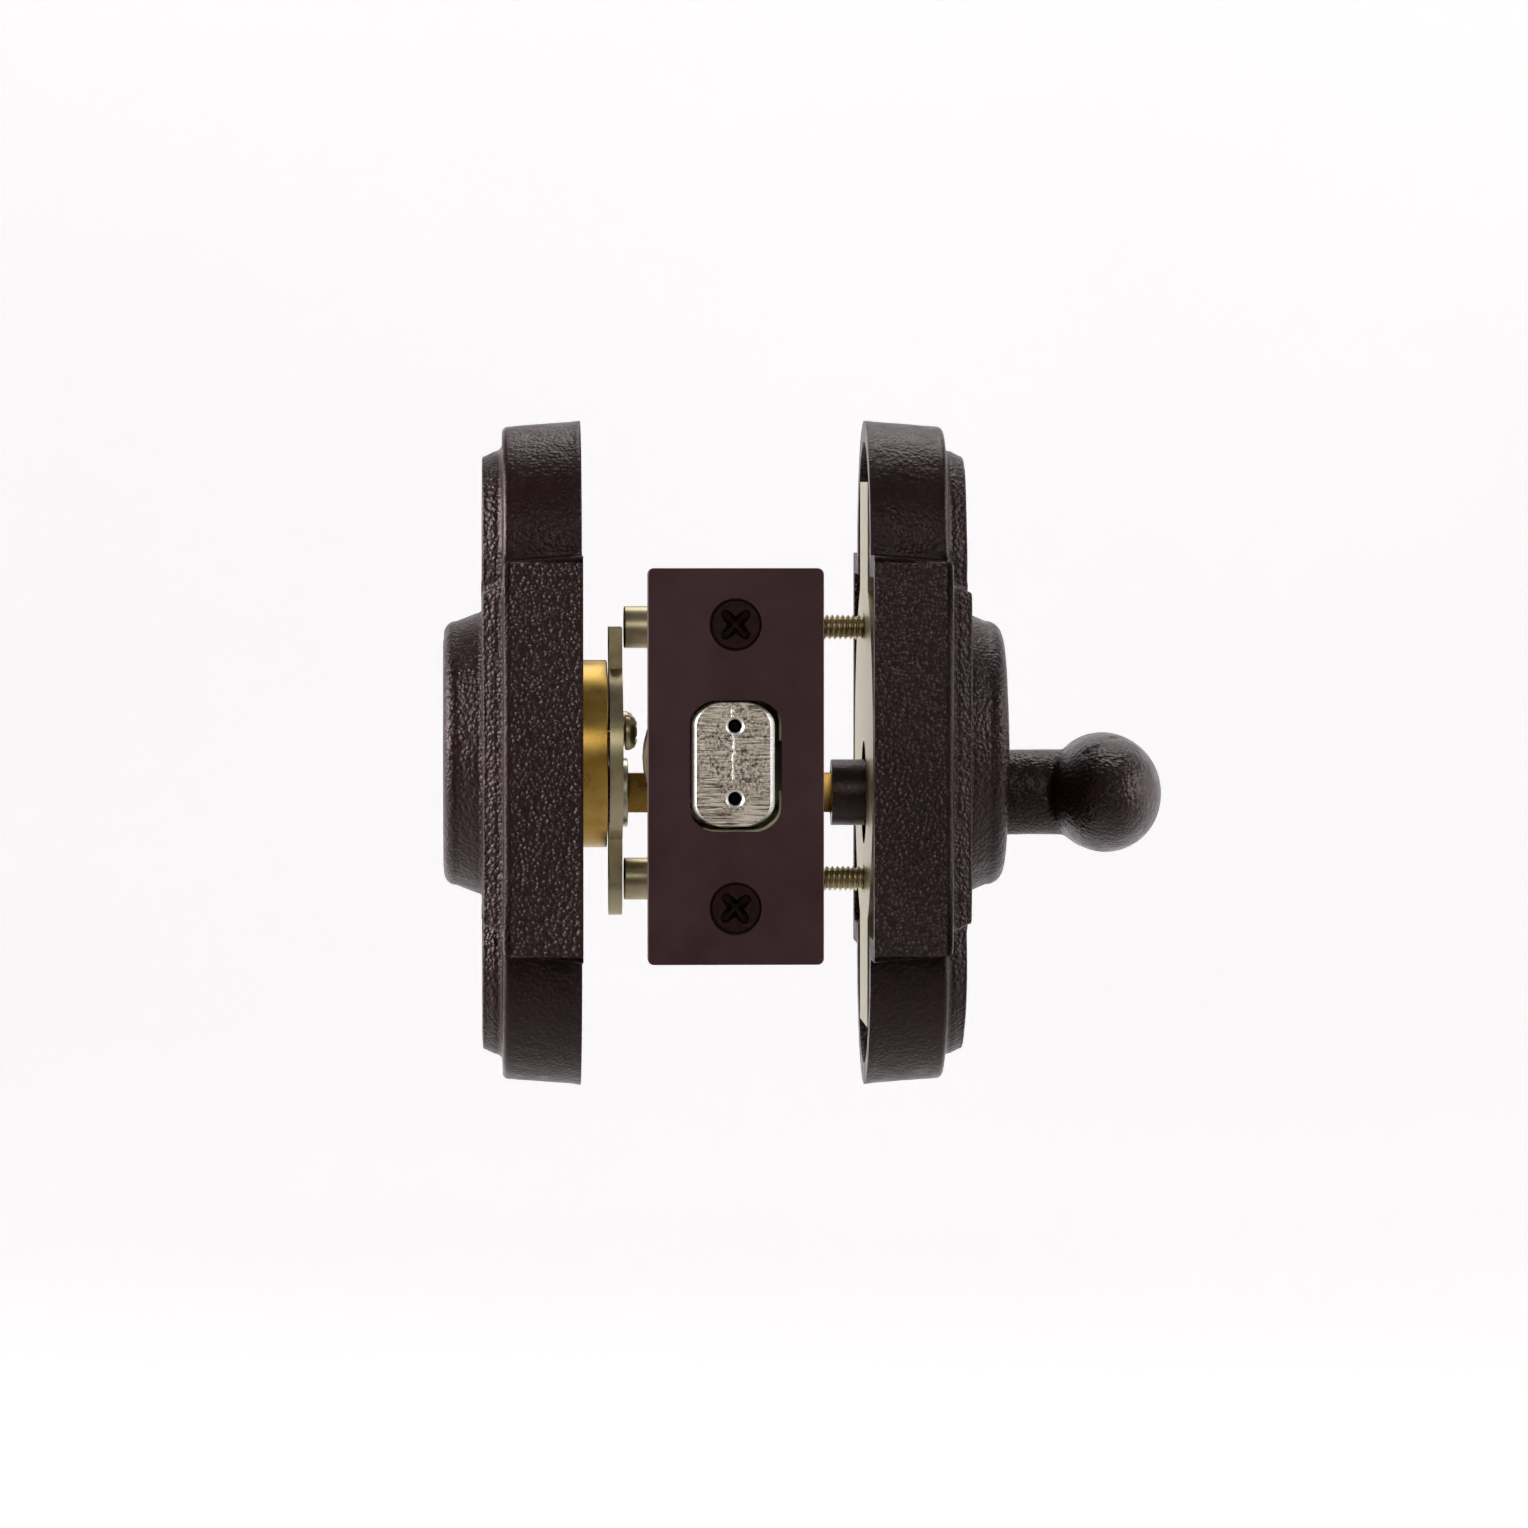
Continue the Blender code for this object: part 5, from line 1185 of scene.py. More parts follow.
@dataclass
class Screw:
    """A screw with a rolled thread and a cross recess; its head stands at the place named front."""

    name: str
    axis: Axis
    centre: Place
    front: float
    tip: float
    head: Head
    head_radius: float
    head_height: float
    shank: float
    pitch: float
    thread_depth: float
    finish: Finish
    pointed: bool = False
    recess_turn: float = 0.0
    steps: int = 48

    def section(self) -> np.ndarray:
        """(distance from the front, radius) points of the screw without its thread."""
        height, shank, crown = self.head_height, self.shank, self.head_radius
        length = abs(self.tip - self.front)
        heads = {
            Head.PAN: [
                (0, crown * 0.55),
                (height * 0.22, crown * 0.86),
                (height * 0.62, crown),
                (height, crown),
                (height, shank),
            ],
            Head.COUNTERSUNK: [(0, crown), (0.25 * MM, crown), (height, shank)],
            Head.NONE: [(0, shank * 0.85), (0.3 * MM, shank)],
        }
        taper = 3.2 * shank if self.pointed else 0.5 * shank
        blunt = 0.04 * MM if self.pointed else shank * 0.7
        end = [(length - taper, shank), (length, blunt), (length, THIN)]
        corners = [(0, THIN), *heads[self.head], *end]
        return resampled(eased(corners, 0.18 * MM), self.pitch / 9)

    def recess(self) -> bpy.types.Object:
        """The driver's recess as a cutter: four round-ended wings that close in with depth."""
        reach = self.head_radius * 0.80
        half = self.head_radius * 0.21
        depth = self.head_height * 0.92
        wing = []
        for k in range(4):
            turn = self.recess_turn + k * math.pi / 2
            out = np.array([math.cos(turn), math.sin(turn)])
            side = np.array([-out[1], out[0]])
            for bend in np.linspace(-math.pi / 2, math.pi / 2, 7):
                end = reach - half + half * math.cos(bend)
                wing.append(out * end + side * (half * math.sin(bend)))
            wing.append((out + side) * half * 1.24)
        flat = np.array(wing)
        levels = [(-0.4 * MM, 1.08), (0.0, 1.0), (depth * 0.7, 0.88), (depth, 0.30)]
        grid = np.zeros((len(levels), len(flat), 3)) + np.array(self.centre)
        first, second = [i for i in range(3) if i != self.axis.value]
        inward = math.copysign(1, self.tip - self.front)
        for i, (down, scale) in enumerate(levels):
            grid[i, :, self.axis.value] = self.front + inward * down
            grid[i, :, first] += flat[:, 0] * scale
            grid[i, :, second] += flat[:, 1] * scale
        return grid_object("recess", grid)

    def build(self) -> None:
        """Builds the screw; its thread is a ridge that moves one pitch along in each turn."""
        section = self.section()
        inward = math.copysign(1, self.tip - self.front)
        placed = section * (inward, 1) + (self.front, 0)
        grid = turned_grid(placed, self.axis, self.centre, self.steps)
        angle = np.linspace(0, 1, self.steps, endpoint=False)[None, :]
        along, radius = section[:, :1], section[:, 1:]
        length = abs(self.tip - self.front)
        under = 0.0 if self.head is Head.NONE else self.head_height + 0.6 * MM
        ridge = np.abs(2 * np.mod(along / self.pitch - angle, 1) - 1)
        ridge = np.clip((ridge - 0.35) / 0.55, 0, 1)
        active = np.clip((along - under) / self.pitch, 0, 1)
        if not self.pointed:
            active = active * np.clip((length - along) / self.pitch, 0, 1)
        shrink = active * self.thread_depth * (1 - ridge)
        factor = np.clip(1 - shrink / np.maximum(radius, 1e-6), 0.35, 1)
        for i in range(3):
            if i != self.axis.value:
                grid[:, :, i] = self.centre[i] + (grid[:, :, i] - self.centre[i]) * factor
        made = grid_object(f"{self.name}_turned", grid)
        combine(made, [self.recess()])
        settle(sharpen(made, 38), self.finish, FIXED, self.name)


@dataclass
class KeyCylinder:
    """The key cylinder's body and its plug."""

    front: float = -42.2 * MM
    rear: float = -17.5 * MM
    head_radius: float = 16.0 * MM
    head_thickness: float = 2.3 * MM
    ring_depth: float = 0.25 * MM
    ring_radius: float = 9.4 * MM
    body_radius: float = 14.3 * MM
    plug_radius: float = 6.35 * MM
    shoulder_radius: float = 7.2 * MM
    shoulder: float = 1.6 * MM
    stub_radius: float = 5.2 * MM
    stub_length: float = 3.2 * MM
    groove_depth: float = 0.7 * MM
    clip: float = 0.8 * MM
    pins: int = 5
    pin_radius: float = 1.3 * MM
    pin_pitch: float = 3.96 * MM
    first_pin: float = -36.2 * MM
    keyway_width: float = 2.2 * MM
    keyway_depth: float = 8.8 * MM
    keyway_length: float = 21.8 * MM
    cover_width: float = 5.0 * MM
    screw_depth: float = 7.0 * MM
    lug: float = 1.2 * MM
    recess_radius: float = 3.43 * MM

    def pin_places(self) -> list[float]:
        """The pins' places on X."""
        return [self.first_pin + i * self.pin_pitch for i in range(self.pins)]

    def body(self) -> None:
        """The brass body: a ringed head, the plug's bore, the chambers and two screw holes."""
        front, rear, head = self.front, self.rear, self.head_radius
        back = front + self.head_thickness
        profile = [
            (front + self.ring_depth, self.ring_radius),
            (front, self.ring_radius + 0.5 * MM),
            (front, head - 1.0 * MM),
            (front + 0.6 * MM, head),
            (back, head),
            (back, self.body_radius),
            (rear, self.body_radius),
        ]
        made = turned_piece("cylinder_turned", profile, Axis.X, (0, 0, 0), 0.2 * MM, 160)
        step = front + self.shoulder + GAP
        profile = [
            (front - OVER, self.shoulder_radius + GAP),
            (step, self.shoulder_radius + GAP),
            (step, self.plug_radius + GAP),
            (rear + OVER, self.plug_radius + GAP),
        ]
        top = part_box("chamber_cover")[0][2]
        half = self.cover_width / 2 + GAP
        start = (self.first_pin - self.pin_pitch, -half, top - GAP)
        cutters = [
            turned_piece("bore", profile, Axis.X, AXIS, THIN),
            brick(start, (rear + OVER, half, self.body_radius + OVER)),
        ]
        for x in self.pin_places():
            cutters.append(bar(Axis.Z, self.pin_radius + GAP, 0, top, (x, 0, 0), 32))
        for y in (-CLAMP_SCREW_Y, CLAMP_SCREW_Y):
            start, centre = rear - self.screw_depth, (0, y, CLAMP_SCREW_Z)
            cutters.append(bar(Axis.X, CLAMP_SCREW_HOLE, start, rear + OVER, centre, 40))
        combine(made, cutters)
        settle(sharpen(made), COATED_BRASS, FIXED, "cylinder_body")

    def plug(self) -> None:
        """The plug: a shouldered barrel with a stepped keyway, pin holes, a groove and a stub."""
        front, rear, stub = self.front, self.rear, self.stub_radius
        groove = rear + GAP
        groove_end = groove + self.clip + GAP
        neck = stub - self.groove_depth
        profile = [
            (front, self.shoulder_radius),
            (front + self.shoulder, self.shoulder_radius),
            (front + self.shoulder, self.plug_radius),
            (rear, self.plug_radius),
            (rear, stub),
            (groove, stub),
            (groove, neck),
            (groove_end, neck),
            (groove_end, stub),
            (rear + self.stub_length, stub),
        ]
        made = turned_piece("plug_turned", profile, Axis.X, AXIS, 0.2 * MM, 112)
        low = AXIS_Z - self.shoulder_radius - OVER
        top = AXIS_Z - self.plug_radius + self.keyway_depth
        step = (low + top) / 2
        half, ward = self.keyway_width / 2, self.keyway_width / 4
        end = front + self.keyway_length
        cutters = [
            brick((front - OVER, -half, low), (end, ward, step)),
            brick((front - OVER, -ward, step - ward), (end, half, top)),
        ]
        high = AXIS_Z + self.plug_radius + OVER
        for x in self.pin_places():
            radius, bottom = self.pin_radius + GAP, AXIS_Z - self.pin_radius
            cutters.append(bar(Axis.Z, radius, bottom, high, (x, 0, 0), 32))
        reach = rear + self.stub_length + OVER
        recess = bar(Axis.X, self.recess_radius, rear, reach, AXIS, 48)
        near, far = self.lug, self.plug_radius
        for y0, y1 in ((-far, -near), (near, far)):
            corner = (rear - OVER, y0, AXIS_Z + y0)
            combine(recess, [brick(corner, (reach + OVER, y1, AXIS_Z + y1))])
        combine(made, [*cutters, recess])
        settle(sharpen(made), COATED_SILVER, PLUG, "plug")

    def build(self) -> None:
        """Builds the cylinder's turned pieces."""
        self.body()
        self.plug()


@dataclass
class Thumbturn:
    """The thumbturn: one casting of a full-ended cross bar and its stem, and a turned spindle."""

    grip_x: float = 57.9 * MM
    grip_radius: float = 9.15 * MM
    flattening: float = 0.95
    grip_half: float = 19.5 * MM
    fullness: float = 2.8
    stem_radius: float = 6.6 * MM
    stem_back: float = 31.5 * MM
    boss_front: float = 42.4 * MM
    spindle: float = 5.0 * MM
    spindle_end: float = 16.5 * MM
    spindle_start: float = 2.0 * MM
    groove_depth: float = 0.7 * MM
    slot_width: float = 1.2 * MM
    slot_height: float = 3.3 * MM
    voxel: float = 0.36 * MM
    pebbled: float = 0.4
    # Casting pits: place and radius in millimetres, and depth
    pits: tuple[tuple[Place, float, float], ...] = (
        ((54.2, -13.0, 0.6), 1.1, 0.30),
        ((55.6, -12.6, 1.0), 0.9, 0.26),
        ((58.6, -8.5, 2.6), 0.8, 0.22),
    )

    def casting(self) -> bpy.types.Object:
        """The grip and stem as one skin.

        The grip's radius at a place along its bar is the full radius times the square root of one
        less the place's share of the half length to the power of the fullness. Both bodies are
        joined on a voxel grid and smoothed, which leaves a small fillet where they meet.
        """
        turn = np.linspace(-math.pi / 2, math.pi / 2, 61)
        share = np.abs(np.sin(turn)) ** self.fullness
        radius = np.maximum(self.grip_radius * np.sqrt(np.clip(1 - share, 0, 1)), THIN / 2)
        profile = np.stack([self.grip_half * np.sin(turn), radius], axis=1)
        grid = turned_grid(profile, Axis.Y, (self.grip_x, 0, AXIS_Z), 96)
        grid[..., 0] = self.grip_x + (grid[..., 0] - self.grip_x) * self.flattening
        made = grid_object("thumbturn_casting", grid)
        attach(made, bar(Axis.X, self.stem_radius, self.stem_back, self.grip_x, AXIS, 96))
        step = made.modifiers.new("skin", "REMESH")
        step.mode = "VOXEL"
        step.voxel_size = self.voxel
        step.use_smooth_shade = True
        step = made.modifiers.new("settle", "SMOOTH")
        step.factor = 0.5
        step.iterations = 5
        return applied(made)

    def turned_end(self) -> bpy.types.Object:
        """The spindle, with its clip's groove and the slot that takes the tailpiece."""
        low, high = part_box("turn_clip")
        groove, shoulder = low[0] - GAP, high[0] + GAP
        start, end = self.stem_back + self.spindle_start, self.spindle_end
        neck = self.spindle - self.groove_depth
        profile = [
            (start, self.spindle),
            (shoulder, self.spindle),
            (shoulder, neck),
            (groove, neck),
            (groove, self.spindle),
            (end, self.spindle),
        ]
        made = turned_piece("spindle", profile, Axis.X, AXIS)
        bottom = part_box("tailpiece")[1][0] + GAP
        half, tall = self.slot_width, self.slot_height
        slot = brick((end - OVER, -half, AXIS_Z - tall), (bottom, half, AXIS_Z + tall))
        combine(made, [slot])
        return made

    def build(self) -> None:
        """Builds the casting, sinks its waves, lumps and pits, and joins the spindle."""
        made = self.casting()
        points, normals = surface(made)
        outside = np.clip((points[:, 0] - self.boss_front) / (0.6 * MM), 0, 1)
        sink = 0.20 * lattice(points, 6.5 * MM, 71) + 0.09 * lattice(points, 2.6 * MM, 72)
        for place, size, depth in self.pits:
            away = np.linalg.norm(points - np.array(place) * MM, axis=1) / (size * MM)
            sink += depth * np.clip(1 - away**2, 0, 1)
        sunk = points - normals * (outside * sink * MM)[:, None]
        reshape(made, sunk, self.pebbled * outside)
        made.data.shade_smooth()
        attach(made, self.turned_end())
        settle(made, HANDLED, TURN, "thumbturn")


@dataclass
class Bolt:
    """The bolt: a bar with blunt corners and a bright bevelled rim round its sawn end."""

    width: float = 12.0 * MM
    height: float = 18.0 * MM
    length: float = 38.0 * MM
    chamfer: Flat = (2.8 * MM, 2.1 * MM)
    side: float = -0.35 * MM
    lift: float = 0.33 * MM
    bevel: float = 0.68 * MM
    bevel_share_z: float = 0.15
    hole_x: float = -0.12 * MM
    holes: Flat = (5.88 * MM, -4.62 * MM)
    hole_radius: float = 1.0 * MM
    hole_depth: float = 28.1 * MM
    slot: Flat = (-1.3 * MM, 8.3 * MM)

    def bar(self) -> bpy.types.Object:
        """The bar and its rim, which is bevelled at both sides and hardly above and below."""
        bevel, rear = self.bevel, EDGE_Y + self.length
        stations = [
            (EDGE_Y, bevel + 2.5 * MM),
            (EDGE_Y, bevel),
            (EDGE_Y + 0.02 * MM, bevel * 0.96),
            (EDGE_Y + 0.46 * MM, bevel * 0.04),
            (EDGE_Y + 0.54 * MM, 0.0),
            (rear - 0.4 * MM, 0.0),
            (rear, 0.3 * MM),
        ]
        w, h = self.width / 2, self.height / 2
        whole = blunted((-w, -h), (w, h), self.chamfer, 1.5 * MM, 0.5 * MM)
        levels = []
        for y, inset in stations:
            scale = (1 - inset / w, 1 - self.bevel_share_z * inset / h)
            levels.append((y, whole * scale + (self.side, self.lift)))
        return lofted("bolt_bar", levels)

    def build(self) -> None:
        """Builds the bar, its two holes, its slot and its pin's hole."""
        made = self.bar()
        radius, bottom = self.hole_radius, EDGE_Y + self.hole_depth
        profile = [
            (EDGE_Y - OVER, radius + 1.35 * MM),
            (EDGE_Y + 0.35 * MM, radius),
            (bottom, radius),
        ]
        cutters = []
        for z in self.holes:
            centre = (self.hole_x, 0, z)
            cutters.append(turned_piece("hole", profile, Axis.Y, centre, THIN, 48))
        low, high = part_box("bolt_slide")
        start = (low[0] - GAP, low[1] - GAP, self.slot[0])
        end = (high[0] + GAP, EDGE_Y + self.length + OVER, self.slot[1])
        cutters.append(brick(start, end))
        low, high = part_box("slide_pin")
        middle = (0, (low[1] + high[1]) / 2, (low[2] + high[2]) / 2)
        radius = (high[2] - low[2]) / 2 + GAP
        cutters.append(bar(Axis.X, radius, -10 * MM, 10 * MM, middle, 40))
        combine(made, cutters)
        settle(sharpen(made, 28), NICKEL, BOLT, "bolt_head")


def extent(node: str, axis: Axis) -> tuple[Place, float, float, float]:
    """Measures a round CAD node.

    Args:
        node: The node.
        axis: Its axis.

    Returns:
        Its centre, the places of its two ends along the axis, and its radius.
    """
    low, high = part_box(node)
    centre = tuple((a + b) / 2 for a, b in zip(low, high))
    along = axis.value
    return centre, low[along], high[along], (high[along - 1] - low[along - 1]) / 2


def turned_ring(
    node: str,
    axis: Axis,
    inner: float,
    finish: Finish,
    body: str,
    fillet: float = 0.15 * MM,
    steps: int = 96,
) -> None:
    """Turns a plain hollow ring or tube to a CAD node's own outer size and place.

    Args:
        node: The CAD node.
        axis: Its axis.
        inner: The bore's radius.
        finish: The finish.
        body: The body that it moves with.
        fillet: How far each eased edge reaches.
        steps: Points round it.
    """
    centre, start, end, outer = extent(node, axis)
    profile = [(start, inner), (start, outer), (end, outer), (end, inner)]
    name = f"{node}_turned"
    made = turned_piece(name, profile, axis, centre, fillet, steps, Section.RING)
    settle(made, finish, body, node)


def turned_pin(node: str, axis: Axis, finish: Finish, body: str) -> None:
    """Turns a plain pin with eased ends to a CAD node's own size and place.

    Args:
        node: The CAD node.
        axis: Its axis.
        finish: The finish.
        body: The body that it moves with.
    """
    centre, start, end, radius = extent(node, axis)
    profile = [(start, radius), (end, radius)]
    made = turned_piece(f"{node}_turned", profile, axis, centre, 0.25 * MM, 48)
    settle(made, finish, body, node)


def rivet(node: str, shank: float = 1.2 * MM, dome: float = 0.8 * MM) -> None:
    """Turns one case rivet: a short shank between two domed heads.

    Args:
        node: The CAD node.
        shank: The shank's radius.
        dome: The height of a head.
    """
    centre, _, end, _ = extent(node, Axis.X)
    low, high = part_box(node)
    head, cheek = (high[2] - low[2]) / 2, end - dome
    turn = np.linspace(0, 1.5, 8)[1:]
    crown = [(cheek + dome * math.sin(a), head * math.cos(a)) for a in turn]
    right = [(cheek, shank), (cheek, head), *crown, (end, THIN)]
    profile = [(-x, r) for x, r in reversed(right)] + right
    name = f"{node}_turned"
    made = turned_piece(name, profile, Axis.X, centre, 0.1 * MM, 40, Section.GIVEN)
    settle(made, ZINC, FIXED, node)


@dataclass
class BoltCartridge:
    """The stationary parts in the door's edge; openings are given in millimetres."""

    frame: dict[str, Any]
    tube_wall: float = 1.0 * MM
    corner: float = 0.9 * MM
    sink_radius: float = 3.85 * MM
    screw_hole: float = 2.2 * MM
    plate_hole: float = 2.5 * MM
    plate_window: tuple[Flat, Flat] = ((-6.62, -9.45), (6.65, 9.55))
    guide: tuple[Flat, Flat] = ((-6.95, -9.17), (6.36, 9.75))
    chamfer: Flat = (2.5, 2.1)
    # What the guide lacks: beside the bolt's lower left, above it, and a notch at its right
    guide_cuts: tuple[tuple[Flat, Flat], ...] = (
        ((-6.9, -8.9), (-2.0, -5.0)),
        ((0.0, 7.6), (6.36, 9.7)),
        ((0.0, -3.6), (6.95, 3.7)),
    )

    def window(self, limits: tuple[Flat, Flat], start: float, end: float) -> bpy.types.Object:
        """The bolt's opening with blunted corners, as a cutter along Y.

        Args:
            limits: The opening's lower left and upper right limits in millimetres.
            start: Where the cutter starts along Y, in metres.
            end: Where it ends.

        Returns:
            The cutter.
        """
        flat = blunted(*limits, self.chamfer, 1.4, 1.0) * MM
        return lofted("window", [(start, flat), (end, flat)])

    def faceplate(self) -> None:
        """The faceplate: its eased outline, the bolt's window and two countersinks with a rim."""
        low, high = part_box("faceplate")
        front, back, width, height = low[1], high[1], high[0], high[2]
        turn = np.linspace(0, math.pi / 2, 7)
        round_off = self.corner * np.stack([np.cos(turn), np.sin(turn)], axis=1)
        quarter = round_off + (width - self.corner, height - self.corner)
        turned_back = quarter[::-1]
        flips = (quarter, turned_back * (-1, 1), quarter * (-1, -1), turned_back * (1, -1))
        outline = np.vstack(flips)
        levels = [
            (front, 0.35 * MM),
            (front, 0.12 * MM),
            (front + 0.12 * MM, 0.0),
            (back - 0.2 * MM, 0.0),
            (back, 0.2 * MM),
        ]
        stations = [(y, outline * (1 - inset / width, 1 - inset / height)) for y, inset in levels]
        made = lofted("faceplate_stamped", stations)
        cutters = [self.window(self.plate_window, front - OVER, back + OVER)]
        profile = [
            (front - OVER, self.sink_radius),
            (front + 0.05 * MM, self.sink_radius),
            (front + 0.45 * MM, 3.62 * MM),
            (front + 2.7 * MM, self.screw_hole),
            (back + OVER, self.screw_hole),
        ]
        for z in (-EDGE_SCREW_Z, EDGE_SCREW_Z):
            cutters.append(turned_piece("sink", profile, Axis.Y, (0, 0, z), 0.03 * MM, 96))
        combine(made, cutters)
        settle(sharpen(made, 30), PLATE, FIXED, "faceplate")

    def backing_plate(self) -> None:
        """The plate behind the faceplate; its guide is a thin lip right of and below the bolt."""
        low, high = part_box("backing_plate")
        made = brick(tuple(low), tuple(high))
        made.name = "backing_plate_stamped"
        start, end = low[1] - OVER, high[1] + OVER
        cutters = [self.window(self.guide, start, end)]
        for (x0, z0), (x1, z1) in self.guide_cuts:
            cutters.append(brick((x0 * MM, start, z0 * MM), (x1 * MM, end, z1 * MM)))
        for z in (-EDGE_SCREW_Z, EDGE_SCREW_Z):
            cutters.append(bar(Axis.Y, self.plate_hole, start, end, (0, 0, z), 64))
        combine(made, cutters)
        # Its paler plating is a painted highlight
        settle(ease_edges(made, 0.12 * MM), BRIGHT_ZINC, FIXED, "backing_plate")

    def screws(self) -> None:
        """The two flat-head wood screws; their recesses stand diagonally as photographed."""
        for name, z, turn in (("upper", EDGE_SCREW_Z, 45), ("lower", -EDGE_SCREW_Z, 41)):
            Screw(
                name=f"edge_screw_{name}",
                axis=Axis.Y,
                centre=(0, 0, z),
                front=EDGE_Y + 0.12 * MM,
                tip=EDGE_Y + 19.0 * MM,
                head=Head.COUNTERSUNK,
                head_radius=3.45 * MM,
                head_height=2.4 * MM,
                shank=1.9 * MM,
                pitch=1.6 * MM,
                thread_depth=0.55 * MM,
                finish=SCREW,
                pointed=True,
                recess_turn=math.radians(turn),
            ).build()

    def build(self) -> None:
        """Builds the cartridge's pieces."""
        self.faceplate()
        self.backing_plate()
        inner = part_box("bolt_tube")[1][0] - self.tube_wall
        turned_ring("bolt_tube", Axis.Y, inner, ZINC, FIXED, 0.2 * MM, 160)
        for node in ("case_half_outer", "case_half_inner"):
            eased_copy(self.frame, node, 0.2 * MM, ZINC, FIXED)
        for node in ("case_rivet_front", "case_rivet_rear"):
            rivet(node)
        self.screws()


@dataclass
class Fixings:
    """The plates and machine screws that clamp the two roses to the door."""

    plate_thickness: float = 1.5 * MM
    disc: float = 27.0 * MM
    strap: float = 11.0 * MM
    lug: float = 5.0 * MM
    plate_bore: float = 7.8 * MM
    clamp_disc: float = 14.0 * MM
    ear: float = 5.5 * MM
    clamp_bore: float = 8.3 * MM

    def mounting_plate(self) -> None:
        """The plate under the inside rose: a disc, a strap with two lugs, a bore and two holes."""
        low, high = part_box("mounting_plate")
        back, front, reach = low[0], low[0] + self.plate_thickness, high[2]
        made = bar(Axis.X, self.disc, back, front, (0, 0, 0), 200)
        made.name = "mounting_plate_stamped"
        joined = [brick((back, -self.strap, -reach), (front, self.strap, reach))]
        near, half = reach - self.plate_thickness, self.lug
        middle = back + self.plate_thickness / 2
        for z0, z1 in ((-reach, -near), (near, reach)):
            joined.append(brick((middle, -half, z0), (high[0], half, z1)))
        combine(made, joined, Merge.JOIN)
        start, end = back - OVER, front + OVER
        cutters = [bar(Axis.X, self.plate_bore, start, end, AXIS, 96)]
        for z in (-LONG_SCREW_Z, LONG_SCREW_Z):
            cutters.append(bar(Axis.X, LONG_SCREW_HOLE, start, end, (0, 0, z), 48))
        combine(made, cutters)
        settle(ease_edges(made), ZINC, FIXED, "mounting_plate")

    def cylinder_clamp(self) -> None:
        """The clamp behind the cylinder: a disc with a round ear above and below, and holes."""
        low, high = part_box("cylinder_clamp")
        front, back, half, reach = low[0], high[0], self.ear, LONG_SCREW_Z
        made = bar(Axis.X, self.clamp_disc, front, back, (0, 0, 0), 128)
        made.name = "cylinder_clamp_stamped"
        joined = [brick((front, -half, -reach), (back, half, reach))]
        for z in (-reach, reach):
            joined.append(bar(Axis.X, half, front, back, (0, 0, z), 72))
        combine(made, joined, Merge.JOIN)
        start, end = front - OVER, back + OVER
        cutters = [bar(Axis.X, self.clamp_bore, start, end, AXIS, 96)]
        for sign in (-1, 1):
            ear, screw = (0, 0, sign * reach), (0, sign * CLAMP_SCREW_Y, CLAMP_SCREW_Z)
            cutters.append(bar(Axis.X, LONG_SCREW_HOLE, start, end, ear, 48))
            cutters.append(bar(Axis.X, CLAMP_SCREW_HOLE, start, end, screw, 40))
        combine(made, cutters)
        settle(ease_edges(made), ZINC, FIXED, "cylinder_clamp")

    def machine_screws(self) -> None:
        """The two long machine screws and the two short ones of the clamp; sizes in millimetres."""
        long, short = (4.0, 2.4, 1.9, 0.8, 0.35), (2.7, 1.8, 1.5, 0.7, 0.28)
        for name, centre, sizes, turn in (
            ("mounting_screw_upper", (0, 0, LONG_SCREW_Z), long, 0.3),
            ("mounting_screw_lower", (0, 0, -LONG_SCREW_Z), long, 0.3),
            ("clamp_screw_front", (0, -CLAMP_SCREW_Y, CLAMP_SCREW_Z), short, 0.7),
            ("clamp_screw_rear", (0, CLAMP_SCREW_Y, CLAMP_SCREW_Z), short, 0.7),
        ):
            low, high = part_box(name)
            radius, height, shank, pitch, thread = (size * MM for size in sizes)
            Screw(
                name=name,
                axis=Axis.X,
                centre=centre,
                front=high[0],
                tip=low[0],
                head=Head.PAN,
                head_radius=radius,
                head_height=height,
                shank=shank,
                pitch=pitch,
                thread_depth=thread,
                finish=ZINC,
                recess_turn=turn,
            ).build()

    def set_screw(self) -> None:
        """The headless screw under the inside rose, with its thread and a small recess."""
        low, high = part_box("rose_set_screw")
        Screw(
            name="rose_set_screw",
            axis=Axis.Z,
            centre=((low[0] + high[0]) / 2, 0, 0),
            front=low[2],
            tip=high[2],
            head=Head.NONE,
            head_radius=2.0 * MM,
            head_height=1.8 * MM,
            shank=2.0 * MM,
            pitch=0.7 * MM,
            thread_depth=0.3 * MM,
            finish=SCREW,
        ).build()

    def build(self) -> None:
        """Builds the plates and screws."""
        self.mounting_plate()
        self.cylinder_clamp()
        self.machine_screws()
        self.set_screw()


def inner_parts(frame: dict[str, Any]) -> None:
    """Eases and turns the small parts of the mechanism."""
    for name in ("upper", "lower"):
        post = f"mounting_post_{name}"
        turned_ring(post, Axis.X, LONG_SCREW_HOLE, ZINC, FIXED, 0.3 * MM, 64)
        turned_pin(f"bolt_rod_{name}", Axis.Y, BLACK_ROD, BOLT)
    turned_pin("slide_pin", Axis.X, SPRING, BOLT)
    turned_pin("crank_pin", Axis.X, SPRING, TURN)
    turned_ring("turn_washer", Axis.X, 5.3 * MM, SPRING, TURN, 0.1 * MM)
    for node, finish, body in (
        ("crank", ZINC, TURN),
        ("tailpiece", BRASS, TURN),
        ("turn_clip", SPRING, TURN),
        ("plug_clip", SPRING, PLUG),
        ("bolt_slide", ZINC, BOLT),
        ("detent_leaf", SPRING, FIXED),
    ):
        eased_copy(frame, node, 0.12 * MM, finish, body)


